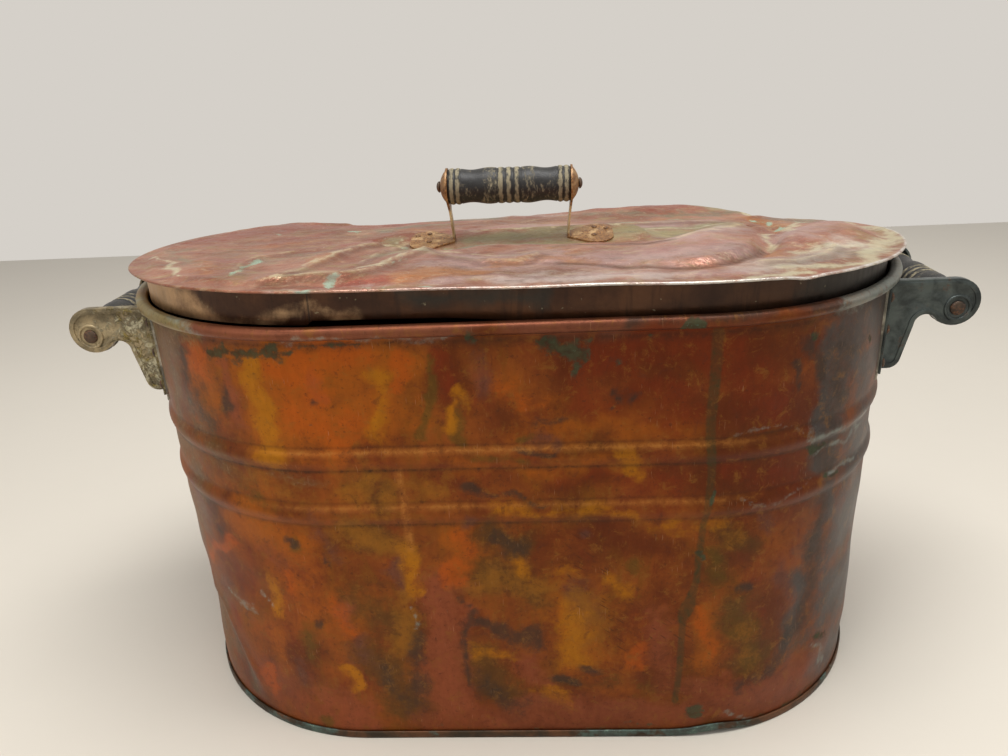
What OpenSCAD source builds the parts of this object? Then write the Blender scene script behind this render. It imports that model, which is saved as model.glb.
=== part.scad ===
// Copper wash boiler: a long oval sheet-metal tub with a wired rim and two swaged beads,
// a loose lid with a turned wooden grip, and a wooden carrying grip in pressed ears at each end.
// Millimetres. X runs along the tub, Y from front to back, Z up. The origin is on the floor,
// under the middle of the tub.

/* [Tub] */
// Half of the straight run of each long side
half_run = 109; // [80:1:140]
// Outer radius of the round ends at the bottom edge
foot_r = 148; // [118:0.5:180]
// How much the wall widens between the bottom edge and the rim
flare = 2.8; // [0:0.1:8]
// Height of the rim above the floor
tub_h = 307; // [250:1:370]
// Thickness of the copper sheet
sheet_t = 0.8; // [0.6:0.1:1.2]
// Height of the folded seam round the bottom
seam_h = 5.6; // [4:0.1:8]
// Height of the raised bottom sheet above the floor
pan_z = 4; // [2.5:0.1:5]
// Width of the lap where the two wall sheets meet at each end
lap_w = 8; // [5:0.5:12]

/* [Swaged beads] */
// Distance of the upper bead below the rim
bead_drop = 86.5; // [84:0.5:110]
// Distance between the two beads
bead_pitch = 38.5; // [24:0.5:60]
// Width of a bead
bead_w = 15; // [8:0.5:18]
// How far a bead stands proud
bead_h = 2; // [0.8:0.1:3]

/* [Wired rim] */
// Thickness of the iron wire inside the rolled rim
wire_d = 6.2; // [4:0.1:8]
// Slack between the wire and the sheet rolled round it
wire_gap = 0.1; // [0.05:0.05:0.3]
// Part of a full turn that the sheet is rolled, in degrees
curl_turn = 290; // [240:5:320]

/* [Lid] */
// Radial gap between the lid's skirt and the rolled rim
skirt_gap = 1.3; // [1:0.1:2.5]
// Depth of the skirt under the brim
skirt_h = 21.5; // [16:0.5:30]
// How far the brim reaches past the skirt
brim_w = 9.5; // [8:0.5:16]
// Width of the brim's folded hem
hem_w = 4; // [2.5:0.5:4.5]
// Height of the raised panel above the brim
panel_h = 10; // [8:0.5:16]
// Width of the sloping shoulder between brim and panel
shoulder_w = 24; // [14:1:40]
// Extra height at the middle of the panel
crown_h = 1.5; // [0:0.1:4]
// How steeply the lid sits, with its back edge down on the rim, in degrees
lid_tilt = 3.2; // [1:0.1:4]
// How steeply the lid sits, with its left end high, in degrees
lid_roll = 0.7; // [0:0.1:1.5]
// Gap left where the lid lies on the rim
seat_gap = 0.3; // [0.1:0.05:0.5]

/* [Sunken strip under the lid handle] */
// Length of the strip
strip_l = 196; // [180:2:240]
// Width of the strip
strip_w = 42; // [38:1:50]
// Height of the strip's middle above the brim
strip_z = 5.4; // [5.2:0.1:7]
// How far the strip and its handle lean towards the front, in degrees
strip_lean = 10; // [0:0.5:10]

/* [Lid handle] */
// Distance between the inner faces of the two straps
strap_span = 86; // [70:1:104]
// Height of the grip's middle above the strip
strap_h = 36; // [28:0.5:46]
// Thickness of a strap
strap_t = 1.4; // [1:0.1:2]
// Width of a strap at its narrowest
strap_w = 7.5; // [5:0.5:12]
// Length of a strap's foot
foot_l = 33; // [31:0.5:36]
// Width of a strap's foot
foot_w = 34; // [32:0.5:36]
// Radius of the corners at a foot's tip
foot_corner = 12; // [8:0.5:14]
// Radius of the pressed dome that caps each end of the grip
dome_r = 12.8; // [11:0.1:16]
// Height of the dome
dome_h = 6; // [4:0.1:8]
// Largest radius of the lid grip
lid_grip_r = 12.6; // [10:0.1:16]
// Diameter of the rod through the lid grip
lid_rod_d = 5.4; // [4:0.1:7]

/* [End handles] */
// Distance between the outer faces of a pair of ears
ear_span = 112; // [96:1:128]
// Distance of the ears' top edge below the rim
ear_drop = 12.5; // [10:0.5:20]
// Height of an ear along the wall
ear_h = 61.5; // [56:0.5:63]
// Reach of an ear from the wall to the middle of its round end
ear_reach = 42.5; // [36:0.5:54]
// Width of an ear's leg where it branches off
leg_w = 17; // [14:0.5:20]
// Width of the leg at its foot
leg_foot_w = 11.5; // [9:0.5:14]
// Radius of an ear's round end
lobe_r = 16; // [15:0.5:19]
// Sheet thickness of the ears
ear_t = 1.6; // [1.2:0.1:2]
// Depth of an ear's turned edge
ear_lip = 4; // [2.5:0.5:6]
// Width of the riveted flange
flange_w = 15; // [12:0.5:18]
// Thickness of the packing plate behind each flange
pad_t = 1.4; // [0.8:0.1:2]
// How far a packing plate shows past its flange
pad_edge = 2.5; // [1:0.1:3]
// Diameter of the rod through an end grip
rod_d = 6; // [5:0.1:8]
// Largest radius of an end grip
grip_r = 14; // [11:0.1:16]
// Slack between a grip's bore and its rod
bore_gap = 0.3; // [0.2:0.05:0.5]

/* [Rivets] */
// Shank diameter of a rivet
rivet_d = 3.4; // [2.5:0.1:4.2]
// Diameter of a rivet's head
rivet_head_d = 6.4; // [5:0.1:7]
// Height of a rivet's head
rivet_head_h = 1.7; // [1:0.1:2.5]
// Thickness of the burr, the small washer under a rivet's tail
burr_t = 0.7; // [0.5:0.1:1]

/* [Hidden] */

$fn = 64;
FIT = 0.05;          // slack between sheets that are folded, soldered or riveted together
BEAD_STEPS = 10;     // points along each bead
CROWN_STEPS = 4;     // points along the lid's flat panel
SHOULDER_STEPS = 10; // points along the lid's shoulder
TURNED_STEPS = 44;   // points along half of a turned grip

COPPER = [0.66, 0.33, 0.19];
DARK_COPPER = [0.36, 0.23, 0.17];
ROSE_COPPER = [0.62, 0.42, 0.37];
IRON = [0.32, 0.28, 0.25];
RUST = [0.52, 0.36, 0.24];
EAR_GREY = [0.30, 0.32, 0.30];
EAR_PALE = [0.55, 0.52, 0.43];
BLACK_WOOD = [0.13, 0.12, 0.12];

// Rolled rim: the sheet leaves the wall's inner face, turns outwards over the wire and under it
wire_r = wire_d / 2;
curl_r = wire_r + wire_gap + sheet_t;
rim_z = tub_h - curl_r;
rim_in = foot_r + flare * rim_z / tub_h - sheet_t;
rim_mid = rim_in + curl_r;
wall_bottom = sheet_t + FIT;
bead_zs = [tub_h - bead_drop - bead_pitch, tub_h - bead_drop];

// The lid lies askew: its hem touches the top of the rolled rim at the back right
skirt_r = rim_in - skirt_gap;
brim_r = skirt_r + brim_w;
seat_rise = half_run * tan(lid_roll) + rim_mid * norm([tan(lid_tilt), tan(lid_roll)]);
lid_z = tub_h + seat_gap + sheet_t + seat_rise;
skirt_flange = 4;
skirt_hem = 3;
skirt_lap = 12;
shoulder_r = skirt_r - 2;
panel_r = shoulder_r - shoulder_w;

// Lid handle
strap_x = strap_span / 2;
lid_rod_r = lid_rod_d / 2;
dome_ball = (pow(dome_r, 2) + pow(dome_h, 2)) / (2 * dome_h);
dome_in = sqrt(pow(dome_ball - strap_t, 2) - pow(dome_ball - dome_h, 2));
lid_head_r = 4;
lid_head_h = 2.4;
lid_grip_l = strap_x - 0.3;
grip_bearing = 0.7;   // how far the grip's ends reach over the straps' faces, past the domes' hollows
lid_rivet_spots = [[19, -4], [20, 11.5], [28.5, 8]];   // from the strap, towards the foot's tip

// End handles. An ear is drawn from its flange outwards, and its rod lies a little below the
// middle of its round end.
ear_y = ear_span / 2;
ear_top = tub_h - ear_drop;
ear_foot = ear_top - ear_h;
lobe = [ear_reach, ear_top - lobe_r];
rod_at = lobe + [1.6, -4];
rod_r = rod_d / 2;
leg_round = 8;
leg_slant = 12;
notch_drop = 15.2;
notch_run = ear_reach - leg_w;
notch_r = (pow(notch_run, 2) + pow(notch_drop, 2) - pow(lobe_r, 2)) / (2 * (notch_run + lobe_r));
notch = [leg_w + notch_r, lobe[1] - notch_drop];
notch_a = atan2(lobe[1] - notch[1], lobe[0] - notch[0]);
border_in = 1.5;
border_w = 2.1;
border_h = 0.8;
boss_r = 8;
boss_round = 1.1;
flange_seat = pad_t + 2 * FIT;
flange_face = flange_seat + ear_t;
flange_r = wall_r(ear_foot + ear_h / 2) + flange_face;
fold_a = asin((ear_y - ear_t / 2) / flange_r);
flange_a = fold_a + turn_for(flange_w);
ear_x = half_run + sqrt(pow(flange_r, 2) - pow(ear_y, 2));
rod_x = ear_x + rod_at[0];
rod_z = rod_at[1];
rod_head_r = 5;
rod_head_h = 2.2;
end_play = 0.3;
journal_r = 9.6;
journal_l = ear_lip + 0.5;
grip_l = ear_y - ear_t - end_play;

// Rivets
rivet_r = rivet_d / 2;
rivet_hole_r = rivet_r + FIT;
tail_r = rivet_head_d / 2 - 0.6;
tail_h = 1.1;
burr_r = rivet_head_d / 2 + 0.4;
ear_rivet_zs = [ear_foot + 7, ear_foot + ear_h / 2, ear_top - 9];
ear_rivet_a = fold_a + turn_for(flange_w * 0.58);
ear_rivet_l = flange_face + sheet_t + burr_t + 3 * FIT;
lid_rivet_l = strap_t + sheet_t + burr_t + FIT;

// ---- Outlines and sweeps ----

// Angle that an arc of the given length takes on the round ends
function turn_for(arc_l) = arc_l / (foot_r + flare) * 180 / PI;

// How far the bead centred at height mid stands proud at height z
function bulge(z, mid) =
    abs(z - mid) < bead_w / 2 ? bead_h * pow(cos(180 * (z - mid) / bead_w), 2) : 0;

// Outer radius of the wall at height z
function wall_r(z) = foot_r + flare * z / tub_h + bulge(z, bead_zs[0]) + bulge(z, bead_zs[1]);

// Heights at which the wall's outline needs a point, from low to high
function wall_stations(low, high) = concat([low],
    [for (mid = bead_zs) for (i = [0 : BEAD_STEPS])
        let (z = mid + bead_w * (i / BEAD_STEPS - 0.5)) if (z > low && z < high) z],
    [high]);

// Points of an arc from angle a to angle b
function arc(mid, r, a, b, steps = 12) =
    [for (i = [0 : steps]) let (t = a + (b - a) * i / steps) mid + r * [cos(t), sin(t)]];

// Outline, in radius and height, of a band that follows the wall between two offsets
module wall_band(low, high, inner, outer) {
    zs = wall_stations(low, high);
    polygon(concat(
        [for (z = zs) [wall_r(z) + outer, z]],
        [for (i = [len(zs) - 1 : -1 : 0]) [wall_r(zs[i]) + inner, zs[i]]]));
}

// Sweeps an outline, in radius and height, along the front (-1) or rear (1) straight side
module along_side(side) {
    translate([-side * half_run, 0, 0])
        rotate([0, 0, side * 90])
            rotate([90, 0, 0])
                linear_extrude(2 * half_run) children();
}

// Sweeps an outline, in radius and height, round one end between two angles from +X
module round_end(end, from, to) {
    translate([end * half_run, 0, 0])
        rotate([0, 0, from])
            rotate_extrude(angle = to - from) children();
}

// Sweeps an outline right round the long oval
module round_oval() {
    round_end(1, -90, 90) children();
    along_side(1) children();
    round_end(-1, 90, 270) children();
    along_side(-1) children();
}

// A rivet head or tail of radius r and height h, standing on its flat
module button(r, h) {
    rotate_extrude() polygon(concat([[0, 0]], [for (i = [0 : 6]) [r * cos(15 * i), h * sin(15 * i)]]));
}

// A rivet with its head's flat at height 0, whose shank clamps what lies below it
module rivet(clamped) {
    button(rivet_head_d / 2, rivet_head_h);
    translate([0, 0, -clamped - tail_h / 2]) cylinder(r = rivet_r, h = clamped + tail_h);
    translate([0, 0, -clamped]) mirror([0, 0, 1]) button(tail_r, tail_h);
}

module burr() {
    difference() {
        cylinder(r = burr_r, h = burr_t);
        translate([0, 0, -1]) cylinder(r = rivet_hole_r, h = burr_t + 2);
    }
}

// ---- Tub ----

// Outline of a wall sheet with its rolled rim, which begins a little above the wire's middle
module wall_outline() {
    open_a = 360 - curl_turn;
    translate([rim_mid, rim_z])
        difference() {
            circle(curl_r);
            circle(curl_r - sheet_t);
            polygon(concat([[0, 0]], arc([0, 0], 2 * curl_r, 172, 180 + open_a, 3)));
        }
    wall_band(wall_bottom, rim_z + 0.2 * curl_r, -sheet_t, 0);
}

// One wall sheet: the front (-1) or rear (1) half of the oval. The rear one stops short of
// the front one at both ends.
module wall_half(side) {
    stop = side > 0 ? turn_for(0.3) : 0;
    along_side(side) wall_outline();
    round_end(1, side * 90, stop) wall_outline();
    round_end(-1, side > 0 ? 90 : 270, 180 - stop) wall_outline();
}

// The strip of the front sheet that laps outside the rear sheet at the right end, and the
// joggle that carries it there
module wall_lap() {
    joggle = turn_for(2);
    low = seam_h + 1;
    high = rim_z - curl_r - 1;
    round_end(1, -joggle, turn_for(lap_w)) wall_band(low, high, FIT, sheet_t + FIT);
    round_end(1, -0.8 * joggle, -0.2 * joggle)
        wall_band(low + 1, high - 1, -sheet_t / 2, sheet_t / 2);
}

module front_wall() {
    color(COPPER) difference() {
        union() {
            wall_half(-1);
            wall_lap();
            mirror([1, 0, 0]) wall_lap();
        }
        for (end = [-1, 1]) at_ear_rivets(end, -1) rivet_hole();
    }
}

module rear_wall() {
    color(COPPER) difference() {
        wall_half(1);
        for (end = [-1, 1]) at_ear_rivets(end, 1) rivet_hole();
    }
}

// The bottom sheet is raised in the middle, comes down to the floor at its edge, and folds up
// outside the wall in a hem, so that the wall stands in its channel
module bottom_pan() {
    slack = 2 * FIT;
    inside = foot_r - sheet_t - slack;
    outside = foot_r + slack;
    hem = 2 * sheet_t;
    color(DARK_COPPER) round_oval() {
        translate([0, pan_z]) square([inside, sheet_t]);
        translate([inside - sheet_t, 0]) square([sheet_t, pan_z + sheet_t]);
        translate([inside - sheet_t, 0]) square([outside + hem - inside + sheet_t, sheet_t]);
        translate([outside, 0]) square([hem, seam_h - sheet_t]);
        translate([outside + sheet_t, seam_h - sheet_t]) circle(sheet_t);
    }
}

module rim_wire() {
    color(IRON) round_oval() translate([rim_mid, rim_z]) circle(wire_r);
}

// ---- Lid ----

// Places what is drawn in the lid's own frame, with the brim's underside at height 0
module at_lid() {
    translate([0, 0, lid_z]) rotate([-lid_tilt, lid_roll, 0]) children();
}

// Places what is drawn on the floor of the lid's sunken strip, in the lid's own frame
module on_strip() {
    translate([0, 0, strip_z]) rotate([strip_lean, 0, 0]) children();
}

// Height of the lid's upper face at distance r from the middle line
function panel_top(r) = sheet_t + (r > shoulder_r ? 0
    : r > panel_r ? panel_h * (1 + cos(180 * (r - panel_r) / shoulder_w)) / 2
    : panel_h + crown_h * (1 - pow(r / panel_r, 2)));

// Outline of the lid's sheet: crown, shoulder, brim and a hem folded under the brim
module lid_outline() {
    edge = brim_r - sheet_t;
    rs = concat([for (i = [0 : CROWN_STEPS]) panel_r * i / CROWN_STEPS],
        [for (i = [1 : SHOULDER_STEPS]) panel_r + shoulder_w * i / SHOULDER_STEPS], [edge]);
    polygon(concat([for (r = rs) [r, panel_top(r)]],
        [for (i = [len(rs) - 1 : -1 : 0]) [rs[i], panel_top(rs[i]) - sheet_t]]));
    translate([brim_r - hem_w, -sheet_t]) square([hem_w - sheet_t, 1.5 * sheet_t]);
    translate([edge, 0]) circle(sheet_t);
}

// The room in the sunken strip above its floor, grown all round
module strip_room(grow) {
    r = strip_w / 2 + grow;
    run = (strip_l - strip_w) / 2;
    on_strip() translate([0, 0, -grow]) linear_extrude(3 * panel_h) {
        square([2 * run, 2 * r], center = true);
        for (x = [-run, run]) translate([x, 0]) circle(r);
    }
}

// The floor and sides of the sunken strip, up to just under the panel's upper face
module strip_tray() {
    difference() {
        intersection() {
            strip_room(sheet_t);
            translate([0, 0, panel_top(strip_w) - 0.3 * sheet_t - 2 * panel_h])
                linear_extrude(2 * panel_h) square([2 * strip_l, 2 * strip_w], center = true);
        }
        strip_room(0);
    }
}

module lid_top() {
    color(ROSE_COPPER) at_lid() difference() {
        union() {
            difference() {
                round_oval() lid_outline();
                strip_room(sheet_t / 2);
            }
            strip_tray();
        }
        on_strip() at_lid_rivets() rivet_hole();
    }
}

// A closed band, with a flange under the brim, a hemmed lower edge and a soldered lap behind
module lid_skirt() {
    color(DARK_COPPER) at_lid() {
        round_oval() {
            translate([skirt_r - sheet_t, -skirt_h]) square([sheet_t, skirt_h - FIT]);
            translate([skirt_r - sheet_t, -sheet_t - FIT]) square([sheet_t + skirt_flange, sheet_t]);
            translate([skirt_r - 2 * sheet_t, -skirt_h]) square([2 * sheet_t, skirt_hem]);
        }
        translate([-skirt_lap / 2, skirt_r - 2 * sheet_t, -skirt_h])
            cube([skirt_lap, 1.5 * sheet_t, skirt_h - sheet_t]);
    }
}

// Plan of a strap's foot, from the strap outwards
module foot_plan() {
    mid = [foot_l - foot_corner, foot_w / 2 - foot_corner];
    root = strap_w / 2 + 1;
    reach = norm(mid - [0, root]);
    a = 180 - atan2(mid[1] - root, mid[0]) - acos(foot_corner / reach);
    polygon(concat([[0, -root], [0, root]],
        arc(mid, foot_corner, 180 - acos(foot_corner / reach), 0),
        arc([mid[0], -mid[1]], foot_corner, 0, acos(foot_corner / reach) - 180)));
}

// Face of a strap's upright: narrow above the foot, round where it holds the grip
module upright_plan() {
    w = strap_w / 2;
    neck = strap_h - dome_r;
    difference() {
        union() {
            polygon([[-w - 1, 0], [w + 1, 0], [w, neck * 0.3], [w, neck * 0.8], [dome_r * 0.7, neck + 4],
                     [-dome_r * 0.7, neck + 4], [-w, neck * 0.8], [-w, neck * 0.3]]);
            translate([0, strap_h]) circle(dome_r);
        }
        translate([0, strap_h]) circle(dome_in);
    }
}

// The pressed dome at the top of a strap, from its flat rim outwards
module dome() {
    sunk = dome_ball - dome_h;
    rotate_extrude() polygon(concat(
        arc([0, -sunk], dome_ball, 90 - asin(dome_r / dome_ball), 90),
        arc([0, -sunk], dome_ball - strap_t, 90, asin(sunk / (dome_ball - strap_t)))));
}

// The right-hand strap; the left one is its mirror image
module strap() {
    difference() {
        union() {
            translate([strap_x, 0, FIT]) linear_extrude(strap_t) foot_plan();
            translate([strap_x, 0, FIT]) rotate([90, 0, 90]) linear_extrude(strap_t) upright_plan();
            translate([strap_x, 0, strap_h + FIT]) rotate([0, 90, 0]) dome();
        }
        translate([strap_x, 0, strap_h + FIT]) rotate([0, 90, 0])
            cylinder(r = lid_rod_r + 2 * FIT, h = 2 * dome_h);
        at_lid_rivets() rivet_hole();
    }
}

module lid_right_strap() {
    color(RUST) at_lid() on_strip() strap();
}

module lid_left_strap() {
    color(RUST) at_lid() on_strip() mirror([1, 0, 0]) strap();
}

// Places something at each rivet of both feet, at the foot's upper face
module at_lid_rivets() {
    for (end = [0, 1]) mirror([end, 0, 0]) at_foot_rivets() children();
}

module at_foot_rivets() {
    for (spot = lid_rivet_spots)
        translate([strap_x + spot[0], spot[1], FIT + strap_t]) children();
}

module lid_right_rivets() {
    color(IRON) at_lid() on_strip() at_foot_rivets() rivet(lid_rivet_l);
}

module lid_left_rivets() {
    color(IRON) at_lid() on_strip() mirror([1, 0, 0]) at_foot_rivets() rivet(lid_rivet_l);
}

module lid_rivet_burrs() {
    color(IRON) at_lid() on_strip() at_lid_rivets() translate([0, 0, -lid_rivet_l]) burr();
}

// Radius of a turned grip at distance x from its middle: three beads in the middle, a swell
// and a neck on each side, and two beads at each end
function turned_r(x, half, r) =
    let (bead = half / 7.5, mid_w = 1.5 * bead, end_w = 2 * bead * 0.75,
         t = (x - mid_w) / (half - end_w - mid_w))
    x < mid_w ? r * (0.93 + 0.06 * abs(cos(180 * x / bead)))
    : x > half - end_w ? r * (0.93 + 0.07 * abs(sin(180 * (half - x) / (bead * 0.75))))
    : r * (0.945 + 0.055 * cos(360 * (t - 0.2)));

// A turned grip along Z, centred, bored through, with a thinner journal at each end
module turned_grip(half, r, bore_r, end_r, end_l) {
    main = half - end_l;
    xs = [for (i = [-TURNED_STEPS : TURNED_STEPS]) main * i / TURNED_STEPS];
    rotate_extrude() polygon(concat(
        [[bore_r, -half], [end_r, -half], [end_r, -main]],
        [for (x = xs) [turned_r(abs(x), main, r), x]],
        [[end_r, main], [end_r, half], [bore_r, half]]));
}

module lid_grip() {
    end_r = dome_in + grip_bearing;
    color(BLACK_WOOD) at_lid() on_strip() translate([0, 0, strap_h + FIT]) rotate([0, 90, 0])
        turned_grip(lid_grip_l, lid_grip_r, lid_rod_r + bore_gap, end_r, 0.6);
}

// A rod along Z, centred, with a peened head outside each end of what it holds
module peened_rod(half, r, head_r, head_h) {
    cylinder(r = r, h = 2 * half + head_h, center = true);
    for (end = [0, 1]) mirror([0, 0, end]) translate([0, 0, half]) button(head_r, head_h);
}

module lid_grip_rod() {
    color(IRON) at_lid() on_strip() translate([0, 0, strap_h + FIT]) rotate([0, 90, 0])
        peened_rod(strap_x + dome_h + FIT, lid_rod_r, lid_head_r, lid_head_h);
}

// ---- End handles ----

// Places what is drawn at the right front corner at any corner: end -1 or 1, side -1 or 1
module at_corner(end, side) {
    mirror([end < 0 ? 1 : 0, 0, 0]) mirror([0, side > 0 ? 1 : 0, 0]) children();
}

// Places something at each flange rivet of one ear, at the flange's outer face, pointing out
module at_ear_rivets(end, side) {
    at_corner(end, side) for (z = ear_rivet_zs)
        translate([half_run, 0, 0])
            rotate([0, 0, -ear_rivet_a])
                translate([wall_r(z) + flange_face + FIT, 0, z])
                    rotate([0, 90, 0]) children();
}

module rivet_hole() {
    translate([0, 0, -4 * ear_t]) cylinder(r = rivet_hole_r, h = 6 * ear_t);
}

// Outline of an ear from the wall outwards, drawn in by inset: along the top, round the end,
// through the notch and down the leg
module ear_outline(inset) {
    back = -12 - inset;
    leg_mid = [leg_foot_w - leg_round, ear_foot + leg_round];
    polygon(concat([[back, ear_top - inset]],
        arc(lobe, lobe_r - inset, 90, notch_a - 180, 20),
        arc(notch, notch_r + inset, notch_a, 180, 10),
        arc(leg_mid, leg_round - inset, -leg_slant, -90, 6),
        [[back, ear_foot + inset]]));
}

// Part of an ear's face, between two outlines and two distances from the tub's middle
module ear_slab(outer, inner, y, depth) {
    translate([ear_x, -y, 0]) rotate([90, 0, 0]) linear_extrude(depth) difference() {
        ear_outline(outer);
        if (inner > outer) ear_outline(inner);
    }
}

// The right front ear: a face with a raised border and a turned edge, and a flange that
// follows the wall and is riveted to it
module ear() {
    difference() {
        union() {
            difference() {
                union() {
                    ear_slab(0, 0, ear_y - ear_t, ear_t);
                    ear_slab(0, ear_t, ear_y - ear_t - ear_lip, ear_lip + ear_t / 2);
                    ear_slab(border_in, border_in + border_w, ear_y - ear_t / 2, ear_t / 2 + border_h);
                    translate([rod_x, -ear_y, rod_z]) rotate([90, 0, 0])
                        rotate_extrude() translate([boss_r, 0]) circle(boss_round);
                }
                round_end(1, -60, 0) wall_band(ear_foot - 5, ear_top + 5, -60, flange_seat);
            }
            round_end(1, -flange_a, -fold_a)
                wall_band(ear_foot + 1, ear_top - 2, flange_seat, flange_face);
        }
        translate([rod_x, -ear_y - 5, rod_z]) rotate([-90, 0, 0])
            cylinder(r = rod_r + 2 * FIT, h = 10);
        at_ear_rivets(1, -1) rivet_hole();
    }
}

// The packing plate between the right front ear's flange and the wall
module pad() {
    difference() {
        round_end(1, -flange_a - turn_for(pad_edge), -fold_a + turn_for(pad_edge))
            wall_band(ear_foot - pad_edge, ear_top - 1, FIT, FIT + pad_t);
        at_ear_rivets(1, -1) rivet_hole();
    }
}

module left_front_ear() { color(EAR_PALE) at_corner(-1, -1) ear(); }
module left_rear_ear() { color(EAR_PALE) at_corner(-1, 1) ear(); }
module right_front_ear() { color(EAR_GREY) at_corner(1, -1) ear(); }
module right_rear_ear() { color(EAR_GREY) at_corner(1, 1) ear(); }

module left_front_pad() { color(IRON) at_corner(-1, -1) pad(); }
module left_rear_pad() { color(IRON) at_corner(-1, 1) pad(); }
module right_front_pad() { color(IRON) at_corner(1, -1) pad(); }
module right_rear_pad() { color(IRON) at_corner(1, 1) pad(); }

// Lays what is drawn along Z across one end, on the grip's axis
module across_end(end) {
    translate([end * rod_x, 0, rod_z]) rotate([90, 0, 0]) children();
}

module end_grip() {
    turned_grip(grip_l, grip_r, rod_r + bore_gap, journal_r, journal_l);
}

module left_grip() { color(BLACK_WOOD) across_end(-1) end_grip(); }
module right_grip() { color(BLACK_WOOD) across_end(1) end_grip(); }

module end_rod() {
    peened_rod(ear_y + FIT, rod_r, rod_head_r, rod_head_h);
}

module left_grip_rod() { color(IRON) across_end(-1) end_rod(); }
module right_grip_rod() { color(IRON) across_end(1) end_rod(); }

module ear_rivets(end) {
    for (side = [-1, 1]) at_ear_rivets(end, side) rivet(ear_rivet_l);
}

module left_ear_rivets() { color(IRON) ear_rivets(-1); }
module right_ear_rivets() { color(IRON) ear_rivets(1); }

module rivet_burrs(end) {
    for (side = [-1, 1]) at_ear_rivets(end, side) translate([0, 0, -ear_rivet_l]) burr();
}

module left_rivet_burrs() { color(IRON) rivet_burrs(-1); }
module right_rivet_burrs() { color(IRON) rivet_burrs(1); }

front_wall();
rear_wall();
bottom_pan();
rim_wire();
lid_top();
lid_skirt();
lid_left_strap();
lid_right_strap();
lid_grip();
lid_grip_rod();
lid_left_rivets();
lid_right_rivets();
lid_rivet_burrs();
left_front_ear();
left_rear_ear();
right_front_ear();
right_rear_ear();
left_front_pad();
left_rear_pad();
right_front_pad();
right_rear_pad();
left_grip();
right_grip();
left_grip_rod();
right_grip_rod();
left_ear_rivets();
right_ear_rivets();
left_rivet_burrs();
right_rivet_burrs();
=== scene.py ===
import math

import bmesh
import bpy
import numpy as np
from mathutils import Matrix, Vector


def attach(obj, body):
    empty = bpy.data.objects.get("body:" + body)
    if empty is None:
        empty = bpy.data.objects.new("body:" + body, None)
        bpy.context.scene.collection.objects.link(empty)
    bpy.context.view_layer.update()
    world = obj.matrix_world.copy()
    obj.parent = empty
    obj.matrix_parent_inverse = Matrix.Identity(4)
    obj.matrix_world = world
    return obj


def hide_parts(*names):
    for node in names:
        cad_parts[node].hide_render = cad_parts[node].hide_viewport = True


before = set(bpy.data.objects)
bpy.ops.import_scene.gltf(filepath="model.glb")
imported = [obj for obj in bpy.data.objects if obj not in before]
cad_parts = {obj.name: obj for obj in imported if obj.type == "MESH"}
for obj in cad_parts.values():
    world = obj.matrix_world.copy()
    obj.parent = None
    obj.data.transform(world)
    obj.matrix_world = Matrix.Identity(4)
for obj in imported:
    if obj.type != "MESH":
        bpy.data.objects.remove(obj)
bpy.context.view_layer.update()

# Sizes in millimetres, the same as the boiler's own. Heights are above the floor.
MM = 0.001
MERGED = 0.00001       # points nearer than this, in metres, are made one
HALF_RUN = 109.0       # half of a straight side; the round ends are centred at its two ends
FOOT_R = 148.0
FLARE = 2.8            # how much farther out the wall stands at the rim than at the foot
TUB_H = 307.0
SHEET = 0.8
FIT = 0.05
TURN_R = 150.0         # radius at which a distance along the wall is measured on the round ends
WALL_FOOT = SHEET + FIT
BEADS = (182.0, 220.5)     # heights of the two swaged beads
BEAD_W = 15.0
BEAD_H = 2.4
CURL_R = 4.0
RIM_Z = TUB_H - CURL_R
RIM_MID = FOOT_R + FLARE * RIM_Z / TUB_H - SHEET + CURL_R
SEAM_H = 5.6
PAN_Z = 4.0            # height of the bottom's raised panel
LAP_W = 8.0

LID_Z = 318.243        # height of the brim's underside in the middle of the lid
LID_TILT = 3.2
LID_ROLL = 0.7
BRIM_R = 158.164
WIRE_R = 3.1
SKIRT_R = 148.664
SKIRT_H = 21.5
HEM_W = 4.0
STRIP_L = 196.0
STRIP_W = 42.0
STRIP_Z = 5.4
STRIP_LEAN = 10.0
STRAP_X = 43.0
STRAP_T = 1.4
STRAP_H = 36.0
GRIP_PLAY = 0.3        # between a grip and its rod, and at each of its ends
LID_GRIP_R = 12.6
LID_GRIP_HALF = STRAP_X - GRIP_PLAY
STRAP_LEAN = 2.4       # how much nearer each other the handle's straps stand at their feet
LID_ROD_R = 2.7
FOOT_RIVETS = ((19, -4), (20, 11.5), (28.5, 8))

ROD_X = 296.026
ROD_Z = 274.5
EAR_Y = 56.0
EAR_T = 1.6
END_ROD_R = 3.0
GRIP_R = 14.0
GRIP_HALF = EAR_Y - EAR_T - GRIP_PLAY
END_JOURNAL = (9.6, 4.5)       # radius and length of the plain part at each end of a grip
LID_JOURNAL = (11.6, 0.6)
RIVET_R = 1.7
RIVET_HEAD_R = 3.2
RIVET_HEAD_H = 1.7
FOOT_HEAD_R = 2.0      # the flatter heads in the lid straps' feet
FOOT_HEAD_H = 0.9
BURR_R = 3.6
BURR_T = 0.7


def tone(r, g, b):
    """A colour as the eye names it, 0 to 255 a channel, as Blender's linear colour."""
    lin = [c / 255 / 12.92 if c <= 10 else ((c / 255 + 0.055) / 1.055) ** 2.4 for c in (r, g, b)]
    return (*lin, 1.0)


# ---- Node helpers ----

def add(tree, kind, **settings):
    node = tree.nodes.new(kind)
    for key, value in settings.items():
        setattr(node, key, value)
    return node


def feed(tree, socket, value):
    """Links a socket to another, or sets its plain value."""
    if isinstance(value, bpy.types.NodeSocket):
        tree.links.new(value, socket)
    else:
        socket.default_value = value


def calc(tree, operation, *values, clamp=False):
    node = add(tree, "ShaderNodeMath", operation=operation, use_clamp=clamp)
    for socket, value in zip(node.inputs, values):
        feed(tree, socket, value)
    return node.outputs[0]


def times(tree, a, b):
    return calc(tree, "MULTIPLY", a, b)


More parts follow.
